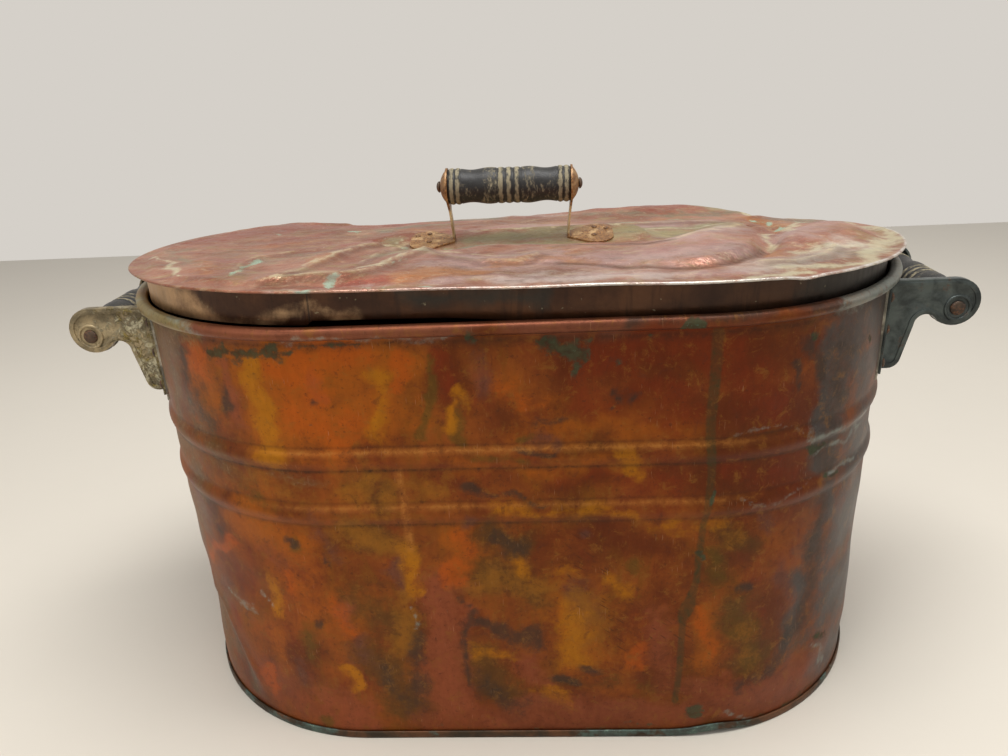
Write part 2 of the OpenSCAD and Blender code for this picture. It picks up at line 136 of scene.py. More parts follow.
def plus(tree, a, b, clamp=False):
    return calc(tree, "ADD", a, b, clamp=clamp)


def less(tree, a, b):
    return calc(tree, "SUBTRACT", a, b)


def split(tree, vector):
    node = add(tree, "ShaderNodeSeparateXYZ")
    feed(tree, node.inputs[0], vector)
    return node.outputs


def join(tree, x=0.0, y=0.0, z=0.0):
    node = add(tree, "ShaderNodeCombineXYZ")
    for socket, value in zip(node.inputs, (x, y, z)):
        feed(tree, socket, value)
    return node.outputs[0]


def remap(tree, value, low, high, to_low=0.0, to_high=1.0, smooth=True):
    node = add(tree, "ShaderNodeMapRange", interpolation_type="SMOOTHSTEP" if smooth else "LINEAR")
    for socket, item in zip(node.inputs, (value, low, high, to_low, to_high)):
        feed(tree, socket, item)
    return node.outputs[0]


def mix(tree, share, below, above):
    node = add(tree, "ShaderNodeMix", data_type="RGBA")
    feed(tree, node.inputs["Factor"], share)
    feed(tree, node.inputs[6], below)
    feed(tree, node.inputs[7], above)
    return node.outputs[2]


def laid(tree, colour, mask, share, paint):
    """A paint laid over a colour by a share of its mask."""
    return mix(tree, times(tree, mask, share), colour, paint)


def tinted(tree, colour, value, low, high, share, paint):
    """A paint laid over a colour where a value runs from low to high."""
    return mix(tree, remap(tree, value, low, high, 0.0, share), colour, paint)


def noise(tree, place, scale, detail=4.0, roughness=0.55, distortion=0.0):
    node = add(tree, "ShaderNodeTexNoise")
    feed(tree, node.inputs["Vector"], place)
    for key, value in (("Scale", scale), ("Detail", detail), ("Roughness", roughness),
                       ("Distortion", distortion)):
        feed(tree, node.inputs[key], value)
    return node.outputs["Fac"]


def stretched(tree, place, scale, shift=(0.0, 0.0, 0.0)):
    node = add(tree, "ShaderNodeMapping")
    feed(tree, node.inputs["Vector"], place)
    node.inputs["Scale"].default_value = scale
    node.inputs["Location"].default_value = shift
    return node.outputs[0]


def turned(tree, place, degrees, scale):
    """Turned in its own plane first, then stretched."""
    node = add(tree, "ShaderNodeVectorRotate", rotation_type="Z_AXIS")
    feed(tree, node.inputs["Vector"], place)
    node.inputs["Angle"].default_value = math.radians(degrees)
    return stretched(tree, node.outputs[0], scale)


def object_place(tree):
    return add(tree, "ShaderNodeTexCoord").outputs["Object"]


def sheet_place(tree):
    return add(tree, "ShaderNodeUVMap", uv_map="sheet").outputs[0]


def painted(tree, name):
    """The value of a mask painted on the piece's own mesh."""
    return add(tree, "ShaderNodeAttribute", attribute_name=name).outputs["Fac"]


def new_group(name, inputs, outputs):
    """A shader node group with named inputs (name, kind, value) and outputs (name, kind)."""
    group = bpy.data.node_groups.new(name, "ShaderNodeTree")
    for label, kind, value in inputs:
        socket = group.interface.new_socket(label, in_out="INPUT", socket_type="NodeSocket" + kind)
        if value is not None:
            socket.default_value = value
    for label, kind in outputs:
        group.interface.new_socket(label, in_out="OUTPUT", socket_type="NodeSocket" + kind)
    return group, add(group, "NodeGroupInput").outputs, add(group, "NodeGroupOutput").inputs


def use_group(tree, group, **values):
    node = add(tree, "ShaderNodeGroup", node_tree=group)
    for key, value in values.items():
        feed(tree, node.inputs[key], value)
    return node.outputs


# ---- Shader groups that several finishes share ----

def make_ragged_patch():
    """Turns a soft painted mask into a patch with a ragged edge."""
    group, given, out = new_group("ragged patch", [
        ("Mask", "Float", 0.0), ("Place", "Vector", None), ("Grain", "Float", 60.0),
        ("Raggedness", "Float", 0.7), ("Softness", "Float", 0.2)], [("Mask", "Float")])
    coarse = noise(group, given["Place"], given["Grain"], 8.0, 0.74)
    drift = times(group, less(group, coarse, 0.5), given["Raggedness"])
    shifted = plus(group, given["Mask"], drift)
    low = less(group, 0.5, given["Softness"])
    high = plus(group, 0.5, given["Softness"])
    edge = remap(group, shifted, low, high)
    held = remap(group, given["Mask"], 0.02, 0.3)
    feed(group, out["Mask"], times(group, edge, held))
    return group


def make_mottle():
    """Cloudy and fine variation of a metal's tone, around 1, and a fine grain for roughness."""
    group, given, out = new_group("mottle", [
        ("Place", "Vector", None), ("Scale", "Float", 25.0), ("Depth", "Float", 0.3)],
        [("Shade", "Float"), ("Grain", "Float"), ("Cloud", "Float")])
    cloud = noise(group, given["Place"], given["Scale"], 6.0, 0.6, 0.4)
    fine = noise(group, given["Place"], times(group, given["Scale"], 14.0), 3.0, 0.6)
    both = plus(group, times(group, cloud, 0.7), times(group, fine, 0.3))
    spread = times(group, less(group, both, 0.5), given["Depth"])
    feed(group, out["Shade"], plus(group, 1.0, times(group, spread, 4.0)))
    feed(group, out["Grain"], fine)
    feed(group, out["Cloud"], cloud)
    return group


def make_verdigris():
    """Green corrosion that grows in clumps where its mask is painted."""
    group, given, out = new_group("verdigris", [
        ("Mask", "Float", 0.0), ("Place", "Vector", None), ("Grain", "Float", 90.0),
        ("Dark", "Color", tone(46, 52, 34)), ("Green", "Color", tone(70, 90, 64)),
        ("Pale", "Color", tone(128, 156, 132))],
        [("Color", "Color"), ("Mask", "Float"), ("Height", "Float")])
    clump = noise(group, given["Place"], given["Grain"], 6.0, 0.68)
    grit = noise(group, given["Place"], times(group, given["Grain"], 6.0), 3.0, 0.6)
    drift = times(group, less(group, clump, 0.5), 1.5)
    grown = plus(group, given["Mask"], drift)
    held = remap(group, given["Mask"], 0.05, 0.3)
    mask = times(group, remap(group, grown, 0.38, 0.72), held)
    green = mix(group, remap(group, clump, 0.4, 0.62), given["Dark"], given["Green"])
    crust = times(group, remap(group, grit, 0.54, 0.74), remap(group, grown, 0.72, 1.1))
    feed(group, out["Color"], mix(group, crust, green, given["Pale"]))
    feed(group, out["Mask"], mask)
    feed(group, out["Height"], times(group, mask, plus(group, 0.4, grit)))
    return group


def make_rust():
    """Rust that blooms over iron and steel: an amount, its colour and its height."""
    group, given, out = new_group("rust bloom", [
        ("Place", "Vector", None), ("Amount", "Float", 0.5), ("Grain", "Float", 120.0),
        ("Dark", "Color", tone(58, 38, 26)), ("Bright", "Color", tone(134, 84, 46))],
        [("Color", "Color"), ("Mask", "Float"), ("Height", "Float")])
    bloom = noise(group, given["Place"], given["Grain"], 6.0, 0.66)
    grit = noise(group, given["Place"], times(group, given["Grain"], 7.0), 2.0, 0.5)
    level = less(group, 1.0, given["Amount"])
    low = plus(group, times(group, level, 0.7), 0.08)
    mask = remap(group, bloom, low, plus(group, low, 0.16))
    feed(group, out["Color"], mix(group, remap(group, grit, 0.35, 0.7), given["Dark"], given["Bright"]))
    feed(group, out["Mask"], mask)
    feed(group, out["Height"], times(group, mask, grit))
    return group


def make_scratches():
    """Thin handling scratches in one direction of a sheet's own map."""
    group, given, out = new_group("scratches", [
        ("Place", "Vector", None), ("Across", "Float", 900.0), ("Along", "Float", 40.0)],
        [("Mask", "Float")])
    place = add(group, "ShaderNodeVectorMath", operation="MULTIPLY")
    feed(group, place.inputs[0], given["Place"])
    feed(group, place.inputs[1], join(group, given["Across"], given["Along"], given["Across"]))
    lines = noise(group, place.outputs[0], 1.0, 2.0, 0.5)
    gaps = noise(group, given["Place"], 30.0, 3.0, 0.6)
    feed(group, out["Mask"], times(group, remap(group, lines, 0.66, 0.74),
                                  remap(group, gaps, 0.48, 0.62)))
    return group


ragged_patch = make_ragged_patch()
mottle = make_mottle()
verdigris = make_verdigris()
rust_bloom = make_rust()
scratches = make_scratches()


def patch_of(tree, name, place, grain, ragged, softness):
    """A mask painted on the mesh, as a patch with a ragged edge."""
    return use_group(tree, ragged_patch, Mask=painted(tree, name), Place=place, Grain=float(grain),
                     Raggedness=ragged, Softness=softness)["Mask"]


def new_material(name):
    material = bpy.data.materials.new(name)
    material.use_nodes = True
    tree = material.node_tree
    return material, tree, tree.nodes["Principled BSDF"]


def bump(tree, shader, height, distance, strength=1.0):
    node = add(tree, "ShaderNodeBump")
    node.inputs["Strength"].default_value = strength
    node.inputs["Distance"].default_value = distance
    feed(tree, node.inputs["Height"], height)
    feed(tree, shader.inputs["Normal"], node.outputs[0])


def shaded(tree, colour, shade):
    """A colour made lighter or darker by a value around 1."""
    node = add(tree, "ShaderNodeVectorMath", operation="SCALE")
    feed(tree, node.inputs[0], colour[:3] if isinstance(colour, tuple) else colour)
    feed(tree, node.inputs["Scale"], shade)
    return node.outputs[0]


# ---- Finishes ----

# Heat and tarnish tones on the tub, laid over the plain copper in this order, the broad ones
# first: mask, colour, strength, grain of its ragged edge, how ragged. The pale tone is partly
# pale scratches and partly painted highlights on the rim, the beads at the right and the bent
# foot; the slate is partly the dark patina of the right end and partly a painted grey sheen there.
TUB_TONES = (
    ("amber", tone(156, 84, 20), 0.85, 40, 1.6), ("deep", tone(96, 42, 16), 0.85, 40, 1.4),
    ("umber", tone(88, 60, 26), 0.8, 50, 1.8), ("rose", tone(124, 64, 38), 0.8, 45, 1.7),
    ("pink", tone(136, 72, 44), 0.75, 60, 1.8), ("purple", tone(96, 60, 48), 0.75, 70, 1.8),
    ("red", tone(118, 46, 18), 0.7, 60, 1.8), ("olive", tone(94, 70, 24), 0.75, 75, 2.0),
    ("ochre", tone(142, 92, 28), 0.75, 90, 2.0), ("gold", tone(170, 108, 16), 0.78, 70, 1.9),
    ("orange", tone(172, 80, 18), 0.62, 80, 2.0), ("bronze", tone(120, 70, 50), 0.9, 60, 0.6),
    ("dust", tone(104, 80, 50), 0.75, 90, 1.8), ("crust", tone(140, 126, 78), 0.9, 170, 1.3),
    ("slate", tone(62, 62, 60), 0.85, 60, 1.5), ("dark", tone(56, 40, 28), 0.8, 90, 1.8),
    ("pale", tone(142, 152, 142), 0.6, 200, 2.0))


def tub_copper():
    material, tree, shader = new_material("tub copper")
    flat = sheet_place(tree)
    cloudy = use_group(tree, mottle, Place=flat, Scale=17.0, Depth=0.2)
    colour = mix(tree, remap(tree, cloudy["Cloud"], 0.36, 0.64), tone(102, 50, 20), tone(136, 72, 26))
    wander = noise(tree, stretched(tree, flat, (1.0, 0.6, 1.0), (3.1, 1.7, 0.0)), 30.0, 7.0, 0.68, 0.6)
    colour = tinted(tree, colour, wander, 0.5, 0.68, 0.7, tone(116, 72, 20))
    colour = tinted(tree, colour, wander, 0.5, 0.34, 0.6, tone(110, 46, 24))
    grey = 0.0
    for name, paint, strength, grain, ragged in TUB_TONES:
        patch = patch_of(tree, name, flat, grain, ragged, 0.34)
        if name in ("slate", "dark"):
            grey = calc(tree, "MAXIMUM", grey, patch)
        if name == "dust":
            dusty = patch
        colour = laid(tree, colour, patch, strength, paint)
    colour = shaded(tree, colour, cloudy["Shade"])
    # painted light and shade: lighter at the left and darker towards the right, where less light falls
    colour = shaded(tree, colour, remap(tree, split(tree, flat)[0], -0.2, 0.14, 1.1, 0.84))
    crumbs = noise(tree, flat, 95.0, 8.0, 0.8, 0.5)
    colour = tinted(tree, colour, crumbs, 0.52, 0.66, 0.5, tone(132, 88, 34))
    colour = tinted(tree, colour, crumbs, 0.46, 0.34, 0.55, tone(84, 44, 26))
    brushed = noise(tree, stretched(tree, flat, (260.0, 60.0, 1.0)), 1.0, 5.0, 0.75)
    colour = shaded(tree, colour, remap(tree, brushed, 0.3, 0.7, 0.93, 1.07))
    # painted highlight along the tops of the beads, in one mask with the thin pale run
    highlight_and_pale_lines = times(tree, painted(tree, "highlight_and_pale_lines"), remap(tree, crumbs, 0.4, 0.6, 0.15, 0.75))
    colour = mix(tree, highlight_and_pale_lines, colour, tone(178, 116, 52))
    # painted shade under the rolled rim and just below and above each bead
    painted_shade = times(tree, painted(tree, "painted_shade"), remap(tree, crumbs, 0.35, 0.6, 0.9, 0.35))
    colour = mix(tree, painted_shade, colour, tone(52, 36, 24))
    scored = noise(tree, turned(tree, flat, -54, (520.0, 70.0, 1.0)), 1.0, 2.0, 0.5)
    scored = times(tree, remap(tree, scored, 0.62, 0.7), painted(tree, "scored"))
    colour = laid(tree, colour, scored, 0.6, tone(60, 34, 20))
    speck = noise(tree, flat, 420.0, 2.0, 0.5)
    colour = tinted(tree, colour, speck, 0.63, 0.7, 0.35, tone(58, 38, 24))
    grit = remap(tree, noise(tree, flat, 330.0, 5.0, 0.8), 0.5, 0.64)
    colour = mix(tree, times(tree, times(tree, grit, dusty), 0.4), colour, tone(158, 136, 104))
    lines = use_group(tree, scratches, Place=flat, Across=1500.0, Along=90.0)["Mask"]
    colour = laid(tree, colour, lines, 0.35, tone(190, 150, 110))
    run = patch_of(tree, "drip", flat, 150, 1.1, 0.4)
    run = times(tree, run, remap(tree, crumbs, 0.3, 0.6, 0.85, 0.35))
    colour = mix(tree, run, colour, tone(58, 58, 34))
    green = use_group(tree, verdigris, Mask=painted(tree, "verdigris"), Place=flat, Grain=120.0,
                      Dark=tone(46, 44, 24), Green=tone(58, 66, 42), Pale=tone(86, 124, 104))
    colour = laid(tree, colour, green["Mask"], 0.85, green["Color"])
    inner = painted(tree, "inner")
    colour = mix(tree, inner, colour, shaded(tree, tone(96, 72, 56), cloudy["Shade"]))
    feed(tree, shader.inputs["Base Color"], colour)
    shader.inputs["Specular IOR Level"].default_value = 0.3
    bare = less(tree, 1.0, green["Mask"])
    metal = times(tree, bare, less(tree, 0.7, times(tree, grey, 0.25)))
    feed(tree, shader.inputs["Metallic"], metal)
    rough = remap(tree, cloudy["Cloud"], 0.3, 0.7, 0.36, 0.52)
    rough = plus(tree, rough, times(tree, green["Mask"], 0.4), clamp=True)
    feed(tree, shader.inputs["Roughness"], rough)
    height = plus(tree, times(tree, green["Height"], 0.4), times(tree, crumbs, 0.5))
    height = less(tree, height, times(tree, lines, 0.15))
    bump(tree, shader, height, 0.0005, 0.8)
    return material


# The same for the lid. Its pinkish white is mostly a painted highlight on the front brim and
# towards the right end; its cream is partly pale rubbed crests and partly painted highlights.
LID_TONES = (
    ("brown", tone(122, 80, 52), 0.75, 60, 1.7), ("mauve", tone(182, 152, 146), 0.75, 60, 1.6),
    ("red", tone(146, 70, 58), 0.66, 60, 1.7), ("orange", tone(172, 112, 62), 0.66, 90, 1.9),
    ("tin", tone(150, 140, 102), 0.85, 90, 1.6), ("grey", tone(116, 112, 90), 0.8, 80, 1.7),
    ("cream", tone(198, 190, 156), 0.8, 150, 1.9), ("film_and_highlight", tone(202, 192, 182), 0.45, 110, 2.0))


def lid_copper():
    material, tree, shader = new_material("lid copper")
    place = object_place(tree)
    cloudy = use_group(tree, mottle, Place=place, Scale=24.0, Depth=0.2)
    colour = mix(tree, remap(tree, cloudy["Cloud"], 0.38, 0.62), tone(140, 84, 62), tone(162, 112, 90))
    wander = noise(tree, stretched(tree, place, (0.6, 1.0, 1.0), (2.2, 0.7, 0.0)), 52.0, 8.0, 0.72, 0.5)
    colour = tinted(tree, colour, wander, 0.5, 0.64, 0.75, tone(150, 122, 80))
    colour = tinted(tree, colour, wander, 0.48, 0.34, 0.7, tone(138, 72, 54))
    for name, paint, strength, grain, ragged in LID_TONES:
        patch = patch_of(tree, name, place, grain, ragged, 0.4)
        colour = laid(tree, colour, patch, strength, paint)
    colour = shaded(tree, colour, cloudy["Shade"])
    film_and_highlight = noise(tree, stretched(tree, place, (0.45, 1.0, 1.0)), 110.0, 8.0, 0.78, 0.9)
    colour = tinted(tree, colour, film_and_highlight, 0.52, 0.66, 0.5, tone(184, 168, 140))
    colour = tinted(tree, colour, film_and_highlight, 0.46, 0.34, 0.45, tone(112, 76, 56))
    speck = noise(tree, place, 520.0, 2.0, 0.5)
    colour = tinted(tree, colour, speck, 0.62, 0.7, 0.3, tone(176, 166, 138))
    lines = use_group(tree, scratches, Place=place, Across=900.0, Along=60.0)["Mask"]
    colour = laid(tree, colour, lines, 0.5, tone(214, 196, 176))
    green = use_group(tree, verdigris, Mask=painted(tree, "verdigris"), Place=place, Grain=85.0,
                      Dark=tone(112, 124, 100), Green=tone(132, 158, 138), Pale=tone(158, 196, 184))
    colour = laid(tree, colour, green["Mask"], 0.8, green["Color"])
    # pale rubbed crests of the folds, with a painted highlight on them
    rubbed = times(tree, painted(tree, "highlight_and_pale_lines"), remap(tree, film_and_highlight, 0.4, 0.6, 0.15, 0.85))
    colour = mix(tree, rubbed, colour, tone(208, 190, 152))
    # painted shade on the front side of the folds and along the pillow's foot and crest
    painted_shade = times(tree, painted(tree, "painted_shade"), remap(tree, film_and_highlight, 0.36, 0.56, 0.5, 0.85))
    colour = mix(tree, painted_shade, colour, tone(92, 60, 44))
    # painted highlight along the front edge of the brim
    edge = times(tree, painted(tree, "edge"), remap(tree, film_and_highlight, 0.4, 0.56, 0.3, 0.9))
    colour = mix(tree, edge, colour, tone(206, 202, 194))
    under = painted(tree, "inner")
    colour = mix(tree, under, colour, shaded(tree, tone(92, 66, 50), cloudy["Shade"]))
    feed(tree, shader.inputs["Base Color"], colour)
    bare = less(tree, 1.0, green["Mask"])
    feed(tree, shader.inputs["Metallic"], times(tree, bare, 0.6))
    shader.inputs["Specular IOR Level"].default_value = 0.3
    rough = remap(tree, film_and_highlight, 0.35, 0.65, 0.3, 0.5)
    rough = plus(tree, rough, times(tree, green["Mask"], 0.3), clamp=True)
    feed(tree, shader.inputs["Roughness"], rough)
    dimple = noise(tree, place, 62.0, 5.0, 0.6)
    height = plus(tree, times(tree, green["Height"], 0.3), times(tree, cloudy["Grain"], 0.1))
    bump(tree, shader, plus(tree, height, times(tree, dimple, 2.4)), 0.001, 1.0)
    return material


def skirt_copper():
    material, tree, shader = new_material("skirt copper")
    flat = sheet_place(tree)
    cloudy = use_group(tree, mottle, Place=flat, Scale=20.0, Depth=0.22)
    along = split(tree, flat)[0]
    drips = noise(tree, stretched(tree, flat, (160.0, 18.0, 1.0)), 1.0, 3.0, 0.6)
    colour = mix(tree, remap(tree, cloudy["Cloud"], 0.35, 0.65), tone(62, 38, 24), tone(88, 56, 34))
    colour = tinted(tree, colour, drips, 0.5, 0.68, 0.5, tone(48, 32, 24))
    colour = laid(tree, colour, patch_of(tree, "teal", flat, 50, 0.9, 0.3), 0.75, tone(46, 47, 42))
    # painted light: a pale ochre over the left end and along the lower edge at the front left
    colour = laid(tree, colour, patch_of(tree, "ochre", flat, 60, 0.9, 0.3), 0.85, tone(206, 166, 122))
    # painted shade: darker round the right end, which ends at the middle of the rear
    right_half = times(tree, remap(tree, along, 0.02, 0.24, 0.0, 0.6),
                       remap(tree, along, 0.6, 0.7, 1.0, 0.0))
    colour = mix(tree, right_half, colour, tone(36, 33, 30))
    colour = shaded(tree, colour, cloudy["Shade"])
    fleck = noise(tree, flat, 260.0, 2.0, 0.5)
    colour = tinted(tree, colour, fleck, 0.7, 0.76, 0.6, tone(150, 140, 112))
    feed(tree, shader.inputs["Base Color"], colour)
    shader.inputs["Metallic"].default_value = 0.6
    feed(tree, shader.inputs["Roughness"], remap(tree, drips, 0.3, 0.7, 0.34, 0.5))
    bump(tree, shader, plus(tree, cloudy["Grain"], times(tree, drips, 0.5)), 0.0002, 0.7)
    return material


def seam_copper():
    material, tree, shader = new_material("seam copper")
    place = object_place(tree)
    cloudy = use_group(tree, mottle, Place=place, Scale=30.0, Depth=0.25)
    colour = mix(tree, remap(tree, cloudy["Cloud"], 0.4, 0.6), tone(62, 52, 40), tone(98, 66, 44))
    green = use_group(tree, verdigris, Mask=remap(tree, noise(tree, place, 18.0), 0.42, 0.7), Place=place,
                      Grain=110.0, Dark=tone(44, 58, 52), Green=tone(66, 92, 82))
    colour = mix(tree, times(tree, green["Mask"], 0.8), shaded(tree, colour, cloudy["Shade"]),
                 green["Color"])
    feed(tree, shader.inputs["Base Color"], colour)
    feed(tree, shader.inputs["Metallic"], less(tree, 0.7, times(tree, green["Mask"], 0.6)))
    feed(tree, shader.inputs["Roughness"], remap(tree, cloudy["Grain"], 0.3, 0.7, 0.4, 0.6))
    bump(tree, shader, plus(tree, green["Height"], cloudy["Grain"]), 0.0003, 0.7)
    return material


def rusty_metal(name, low, high, amount, metallic=0.7, dark=tone(58, 38, 26), bright=tone(134, 84, 46),
                rough=(0.38, 0.6)):
    """Iron or steel whose plain tone lies between two colours, with rust over a share of it."""
    material, tree, shader = new_material(name)
    place = object_place(tree)
    cloudy = use_group(tree, mottle, Place=place, Scale=60.0, Depth=0.22)
    plain = mix(tree, remap(tree, cloudy["Cloud"], 0.38, 0.62), low, high)
    rust = use_group(tree, rust_bloom, Place=place, Amount=amount, Grain=120.0, Dark=dark, Bright=bright)
    colour = mix(tree, rust["Mask"], shaded(tree, plain, cloudy["Shade"]), rust["Color"])
    feed(tree, shader.inputs["Base Color"], colour)
    feed(tree, shader.inputs["Metallic"],
         times(tree, less(tree, 1.0, times(tree, rust["Mask"], 0.8)), metallic))
    rough_now = plus(tree, remap(tree, cloudy["Grain"], 0.3, 0.7, *rough),
                     times(tree, rust["Mask"], 0.2), clamp=True)
    feed(tree, shader.inputs["Roughness"], rough_now)
    bump(tree, shader, plus(tree, rust["Height"], times(tree, cloudy["Grain"], 0.4)),
         0.0003, 0.8)
    return material


# Heights above the floor, in metres, at which a lid strap's foot ends and its dome begins
STRAP_FOOT_ENDS = (0.3235, 0.3255)
STRAP_DOME_BEGINS = (0.3425, 0.3465)


def strap_steel():
    """Tinned legs between a rusty foot and a rusty dome."""
    material, tree, shader = new_material("strap steel")
    place = object_place(tree)
    cloudy = use_group(tree, mottle, Place=place, Scale=70.0, Depth=0.25)
    spot = split(tree, place)
    level = less(tree, spot[2], times(tree, spot[1], 0.12))
    foot = remap(tree, level, *STRAP_FOOT_ENDS, 1.0, 0.0)
    head = remap(tree, level, *STRAP_DOME_BEGINS)
    rust = use_group(tree, rust_bloom, Place=place, Amount=0.55, Grain=130.0,
                     Dark=tone(96, 64, 38), Bright=tone(160, 114, 66))
    leg = mix(tree, remap(tree, cloudy["Cloud"], 0.4, 0.6), tone(168, 146, 108), tone(206, 190, 152))
    worn = mix(tree, remap(tree, cloudy["Cloud"], 0.4, 0.6), tone(138, 100, 58), tone(182, 148, 104))
    worn = mix(tree, rust["Mask"], worn, rust["Color"])
    rusty = calc(tree, "MAXIMUM", foot, head)
    colour = shaded(tree, mix(tree, rusty, leg, worn), cloudy["Shade"])
    feed(tree, shader.inputs["Base Color"], colour)
    feed(tree, shader.inputs["Metallic"], remap(tree, rusty, 0.0, 1.0, 0.7, 0.3, smooth=False))
    feed(tree, shader.inputs["Roughness"], remap(tree, cloudy["Grain"], 0.3, 0.7, 0.36, 0.56))
    bump(tree, shader, plus(tree, cloudy["Grain"], rust["Height"]), 0.0002, 0.6)
    return material


def worn_wood(name, bare_share, round_it):
    """Black paint on turned wood, rubbed off the rings and in short flecks round it."""
    material, tree, shader = new_material(name)
    place = object_place(tree)
    cloudy = use_group(tree, mottle, Place=place, Scale=60.0, Depth=0.3)
    grain = noise(tree, stretched(tree, place, round_it), 560.0, 7.0, 0.8)
    rubbed = plus(tree, times(tree, painted(tree, "wear"), 0.6),
                  times(tree, less(tree, cloudy["Cloud"], 0.5), 1.3))
    rubbed = plus(tree, rubbed, times(tree, less(tree, grain, 0.5), 2.6))
    bare = remap(tree, rubbed, 0.3 - bare_share, 0.8 - bare_share, 0.0, 0.9)
    black = shaded(tree, tone(38, 37, 36), cloudy["Shade"])
    wood = mix(tree, grain, tone(96, 88, 68), tone(178, 166, 136))
    feed(tree, shader.inputs["Base Color"], mix(tree, bare, black, wood))
    feed(tree, shader.inputs["Roughness"], remap(tree, bare, 0.0, 0.6, 0.42, 0.8))
    shader.inputs["Specular IOR Level"].default_value = 0.35
    bump(tree, shader, less(tree, grain, times(tree, bare, 0.6)), 0.0004, 0.8)
    return material


def left_ear_steel():
    """Brown steel with a pale and yellow crust that thickens towards the tub."""
    material, tree, shader = new_material("crusted ear steel")
    place = object_place(tree)
    cloudy = use_group(tree, mottle, Place=place, Scale=60.0, Depth=0.25)
    spot = split(tree, place)
    plain = mix(tree, remap(tree, cloudy["Cloud"], 0.38, 0.62), tone(108, 96, 72), tone(164, 146, 112))
    colour = shaded(tree, plain, cloudy["Shade"])
    by_tub = remap(tree, spot[0], -0.292, -0.266)
    low = remap(tree, spot[2], 0.268, 0.25, 0.0, 0.5)
    clumps = noise(tree, place, 230.0, 7.0, 0.78, 0.6)
    amount = plus(tree, times(tree, by_tub, 0.1), times(tree, low, 0.06))
    grown_on = plus(tree, less(tree, clumps, 0.5), amount)
    crust = remap(tree, grown_on, 0.06, 0.16)
    yellow = remap(tree, noise(tree, place, 90.0, 4.0, 0.6), 0.46, 0.6)
    tint = mix(tree, yellow, tone(196, 186, 154), tone(138, 118, 50))
    colour = laid(tree, colour, crust, 0.85, tint)
    burnt = remap(tree, grown_on, 0.3, 0.38)
    colour = mix(tree, burnt, colour, tone(48, 38, 24))
    feed(tree, shader.inputs["Base Color"], colour)
    feed(tree, shader.inputs["Metallic"], remap(tree, crust, 0.0, 1.0, 0.5, 0.05, smooth=False))
    feed(tree, shader.inputs["Roughness"], remap(tree, crust, 0.0, 1.0, 0.42, 0.75, smooth=False))
    bump(tree, shader, plus(tree, cloudy["Grain"], times(tree, crust, 1.5)), 0.0004, 0.9)
    return material


TUB_COPPER = tub_copper()
LID_COPPER = lid_copper()
SKIRT_COPPER = skirt_copper()
SEAM_COPPER = seam_copper()
STRAP_STEEL = strap_steel()
FOOT_RUST = rusty_metal("rusty foot rivet", tone(88, 62, 40), tone(122, 88, 56), 0.6, 0.4,
                        dark=tone(56, 36, 22), bright=tone(126, 86, 50))
EAR_DARK = rusty_metal("dark ear steel", tone(52, 57, 56), tone(80, 87, 84), 0.26, 0.6,
                       dark=tone(56, 44, 36), bright=tone(100, 74, 54), rough=(0.28, 0.44))
EAR_PALE = left_ear_steel()
PAD_STEEL = rusty_metal("packing plate", tone(120, 116, 106), tone(190, 184, 166), 0.3)
IRON = rusty_metal("rivet iron", tone(60, 50, 42), tone(88, 72, 58), 0.5, dark=tone(50, 34, 26),
                   bright=tone(116, 78, 50))
BURR_COPPER = rusty_metal("burr copper", tone(120, 66, 42), tone(150, 92, 60), 0.15)
LID_WOOD = worn_wood("lid grip wood", 0.17, (1.0, 0.4, 0.4))
END_WOOD = worn_wood("end grip wood", 0.0, (0.4, 1.0, 0.4))


# ---- Painted masks: strokes placed one by one where the metal shows each tone ----

def stroke_distance(a, b, x0, y0, x1, y1):
    """Distance of points (a, b) from the stroke from (x0, y0) to (x1, y1)."""
    dx, dy = x1 - x0, y1 - y0
    along = np.clip(((a - x0) * dx + (b - y0) * dy) / max(dx * dx + dy * dy, 1e-9), 0, 1)
    return np.hypot(a - x0 - along * dx, b - y0 - along * dy)


def cloud(a, b, seed, size):
    """Smooth random ground between -1 and 1, with features of a given size."""
    cells = np.random.default_rng(seed).uniform(-1, 1, (64, 64))
    u, v = a / size + 7.3, b / size + 3.1
    i, j = np.floor(u).astype(int), np.floor(v).astype(int)
    fu, fv = u - i, v - j
    fu, fv = fu * fu * (3 - 2 * fu), fv * fv * (3 - 2 * fv)
    pick = lambda m, n: cells[(i + m) % 64, (j + n) % 64]
    return ((pick(0, 0) * (1 - fu) + pick(1, 0) * fu) * (1 - fv)
            + (pick(0, 1) * (1 - fu) + pick(1, 1) * fu) * fv)


def warped(a, b, seed):
    """The ground under the strokes, pulled about so that their outlines come out uneven."""
    for size, reach in ((34, 8.0), (13, 4.0), (6, 1.8)):
        a, b = (a + reach * cloud(a, b, seed, size), b + reach * cloud(a, b, seed + 1, size))
        seed += 2
    return a, b


def paint(a, b, strokes, seed):
    """Mask from strokes (from, to, half width, and weight where it isn't 1): 0.5 at a stroke's
    edge, 1 well inside."""
    mask = np.zeros_like(a)
    a, b = warped(a, b, seed)
    for x0, y0, x1, y1, half, *weight in strokes:
        soft = max(2.0, half)
        level = np.clip(0.5 + (half - stroke_distance(a, b, x0, y0, x1, y1)) / (2 * soft), 0, 1)
        mask = np.maximum(mask, level * (weight[0] if weight else 1.0))
    return mask


def line_distance(a, b, points):
    """Distance from a line through several points."""
    gap = np.full_like(a, 1e6)
    for start, stop in zip(points, points[1:]):
        gap = np.minimum(gap, stroke_distance(a, b, *start, *stop))
    return gap


def along_line(a, b, points, half, fade=2.0):
    """Mask along a line through several points, which fades over a distance beyond half."""
    return np.clip(1 - (line_distance(a, b, points) - half) / fade, 0, 1)


